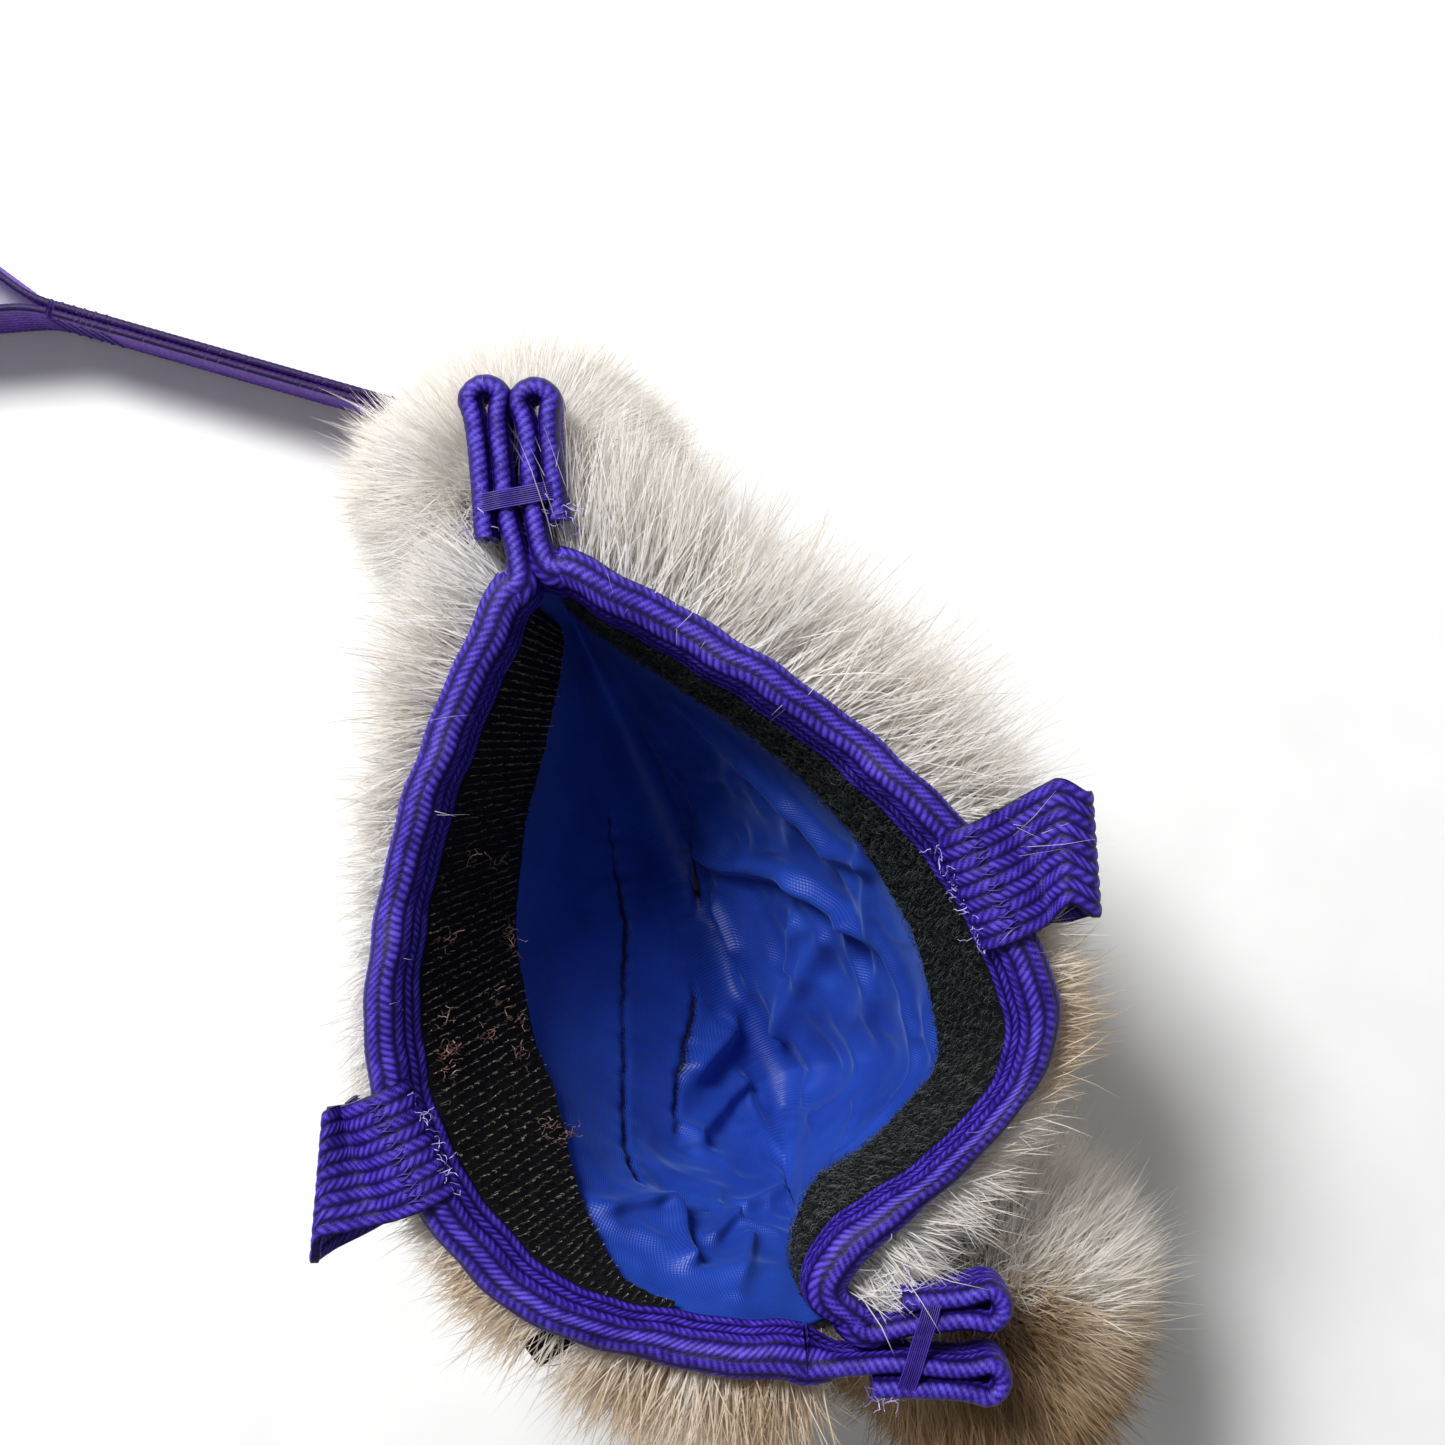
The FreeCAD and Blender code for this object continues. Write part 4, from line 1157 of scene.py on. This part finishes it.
def build_tab_threads(side, lip, sign):
    """Stitches through the tab where it is sewn over the binding, and its frayed end."""
    paths = []
    for y in np.arange(-11.0, 11.5, 1.15):
        lean = 0.6 if int(y) % 2 else -0.6
        end = y + 2 * lean
        steps = [(-1.6, y, 3.9), (-0.6, y + lean, 4.75), (0.8, end, 4.9), (2.0, end, 4.6)]
        paths.append(lip + np.array(steps) * (sign, 1, 1) * MM)
    chance = 0.3 + 0.5 * np.random.default_rng(50).random(len(paths))
    stitches = stitching(f"{side}_tab_stitches", paths, 0.16 * MM, chance)
    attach(stitches, f"{side}_lip")
    away = (-sign * 0.5, 0, 0.3)
    places = [(lip + np.array([sign * -5.6, y, 0.4]) * MM, away) for y in range(-11, 12, 3)]
    threads = frayed_threads(f"{side}_tab_frayed_threads", places, 4 * MM, 5, 51)
    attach(threads, f"{side}_lip")


# ---------------- handle

HANDLE_START = np.array([12.9 * MM, 117 * MM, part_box("neck_ply_left")[0].z])
HANDLE_HEADING = math.radians(141)
ANCHOR_LENGTH = 19 * MM
NECK_START = ANCHOR_LENGTH + 3 * MM
NECK_LENGTH = 108 * MM
PLY_SHIFT = 1.05 * MM
LOOP_ORIGIN = NECK_START + NECK_LENGTH + 5 * MM
LOOP_REACH = 92 * MM
LOOP_TIP = 33.1 * MM
AHEAD = direction(HANDLE_HEADING)
ASIDE = np.cross(UP, AHEAD)


def on_handle(along, aside=0.0, height=0.0):
    """Points in the handle's own frame: along it, to its left and up from its lower edge."""
    along, aside, height = (part[:, None] for part in np.broadcast_arrays(along, aside, height))
    return HANDLE_START + AHEAD * along + ASIDE * aside + UP * height


def strap(name, along, aside):
    """Webbing standing on its edge along a line in the handle's frame."""
    path = on_handle(along, aside)
    middle = path[:, None] + UP * ACROSS[:, None]
    normal = np.cross(unit(np.gradient(path, axis=0)), UP)
    normal = np.broadcast_to(normal[:, None], middle.shape)
    return webbing_slab(name, middle, normal, arc_length(path)[:, None], ACROSS[None], STRAP_LOOK)


def build_handle():
    flex = on_handle([ANCHOR_LENGTH, NECK_START])
    for side, sign in (("left", 1), ("right", -1)):
        along = np.arange(1 * MM, NECK_START + NECK_LENGTH - MM, FINE)
        piece = strap(f"handle_ply_{side}", along, sign * PLY_SHIFT)
        nodes = [f"neck_ply_{side}"] + (["handle_anchor"] if side == "left" else [])
        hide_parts(*nodes)
        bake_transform(piece)
    build_hand_loop()
    build_neck_stitches()


def build_hand_loop():
    """The hand loop: out along one side, round its wide end and back."""
    lean = math.asin((LOOP_TIP - PLY_SHIFT) / LOOP_REACH)
    turn = np.linspace(-math.pi / 2 - lean, math.pi / 2 + lean, 60)
    tip = joined(LOOP_REACH + LOOP_TIP * np.cos(turn), LOOP_TIP * np.sin(turn))
    start = np.array([(-6 * MM, -PLY_SHIFT), (0, -PLY_SHIFT)])
    points = np.concatenate([start, tip, (start * (1, -1))[::-1]])
    arc = arc_length(points)
    path = read_at(np.arange(0, arc[-1], 0.42 * MM), arc, points)
    padded = np.pad(path, ((12, 12), (0, 0)), mode="edge")
    along, aside = (np.convolve(column, np.full(25, 1 / 25), "valid") for column in padded.T)
    piece = strap("hand_loop_strap", LOOP_ORIGIN + along, aside)
    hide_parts("hand_loop_webbing")
    flex = on_handle([LOOP_ORIGIN - 5 * MM, LOOP_ORIGIN - 2 * MM])
    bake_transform(piece)


def build_neck_stitches():
    """Box stitching through both plies of the neck, in two groups."""
    rows = []
    face = PLY_SHIFT + WEBBING / 2 + 0.25 * MM
    for share in (0.08, 0.88):
        begin = NECK_START + NECK_LENGTH * share
        for sign in (1, -1):
            for place in np.arange(0, 14.1, 2.8) * MM:
                height = np.linspace(3 * MM, WIDTH - 3 * MM, 26)
                ripple = 0.22 * MM * np.abs(np.sin(height / (0.9 * MM)))
                rows.append(on_handle(begin + place, sign * (face + ripple), height))
    piece = stitching("neck_stitches", rows, 0.22 * MM, np.full(len(rows), 0.6))
    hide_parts("neck_stitching")
    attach(piece, "handle_neck")


# ---------------- stage

FLOOR_HALF = 3
WORLD_STRENGTH = 0.2
LIT_POINT = (0.0, 0.0, 0.08)
CAMERA_X = 22.7 * MM
CAMERA_Y = 42 * MM
CAMERA_HEIGHT = 0.4
CAMERA_ROLL = -23.1


def build_floor():
    material, tree, shader = new_material("floor_pale", 0.9)
    paint(tree, shader, noise(tree, 30, 3), [(0.3, (0.86, 0.86, 0.86)), (0.7, (0.90, 0.90, 0.90))])
    corners = [(x * FLOOR_HALF, y * FLOOR_HALF, 0) for x, y in ((-1, -1), (1, -1), (1, 1), (-1, 1))]
    mesh = bpy.data.meshes.new("floor")
    mesh.from_pydata(corners, [], [(0, 1, 2, 3)])
    mesh.materials.append(material)
    in_scene("floor", mesh)


def area_light(name, place, target, side, power):
    data = bpy.data.lights.new(name, "AREA")
    data.size = side
    data.energy = power
    light = in_scene(name, data)
    x, y, z = np.subtract(place, target)
    light.location = place
    light.rotation_euler = (0, math.atan2(math.hypot(x, y), z), math.atan2(y, x))


def build_stage():
    build_floor()
    world = bpy.data.worlds.new("studio")
    bpy.context.scene.world = world
    world.use_nodes = True
    background = world.node_tree.nodes["Background"]
    background.inputs["Color"].default_value = (1, 1, 1, 1)
    background.inputs["Strength"].default_value = WORLD_STRENGTH
    area_light("key", (-0.25, 1.2, 1.4), LIT_POINT, 0.56, 45)
    area_light("fill", (0.5, -0.5, 1.6), LIT_POINT, 1.2, 1.3)
    bpy.context.scene.view_settings.view_transform = "Standard"


def build_camera():
    """The camera looks straight down from above the lips, rolled as in the photograph."""
    data = bpy.data.cameras.new("camera")
    data.lens = 50
    data.sensor_width = 36
    data.clip_start = 0.01
    camera = in_scene("camera", data)
    camera.location = (CAMERA_X, CAMERA_Y, LIP_Z + CAMERA_HEIGHT)
    camera.rotation_euler = (0, 0, math.radians(CAMERA_ROLL))
    bpy.context.scene.camera = camera


# ---------------- build

for wall_side, fur_seed in (("hook", 100), ("loop", 200)):
    build_skin(wall_side, fur_seed + 10)
    build_binding(wall_side)
    build_wall_fur(wall_side, fur_seed)
    build_tab(wall_side)
build_tape("hook", HOOK_TAPE_LOOK)
build_tape("loop", LOOP_TAPE_LOOK)
build_hooks()
build_pile()
build_lint()
build_lining("hook", ["hook_seam_roll", "base_lining"])
build_lining("loop", ["loop_seam_roll"])
build_base()
build_ears()
build_end("top_end", "top_end_hide", math.radians(90), 39 * MM, 46 * MM, 18 * MM, 300)
build_end("low_end", "low_end_hide", math.radians(-53), 56 * MM, 52 * MM, 18 * MM, 400)
build_handle()
build_stage()
build_camera()
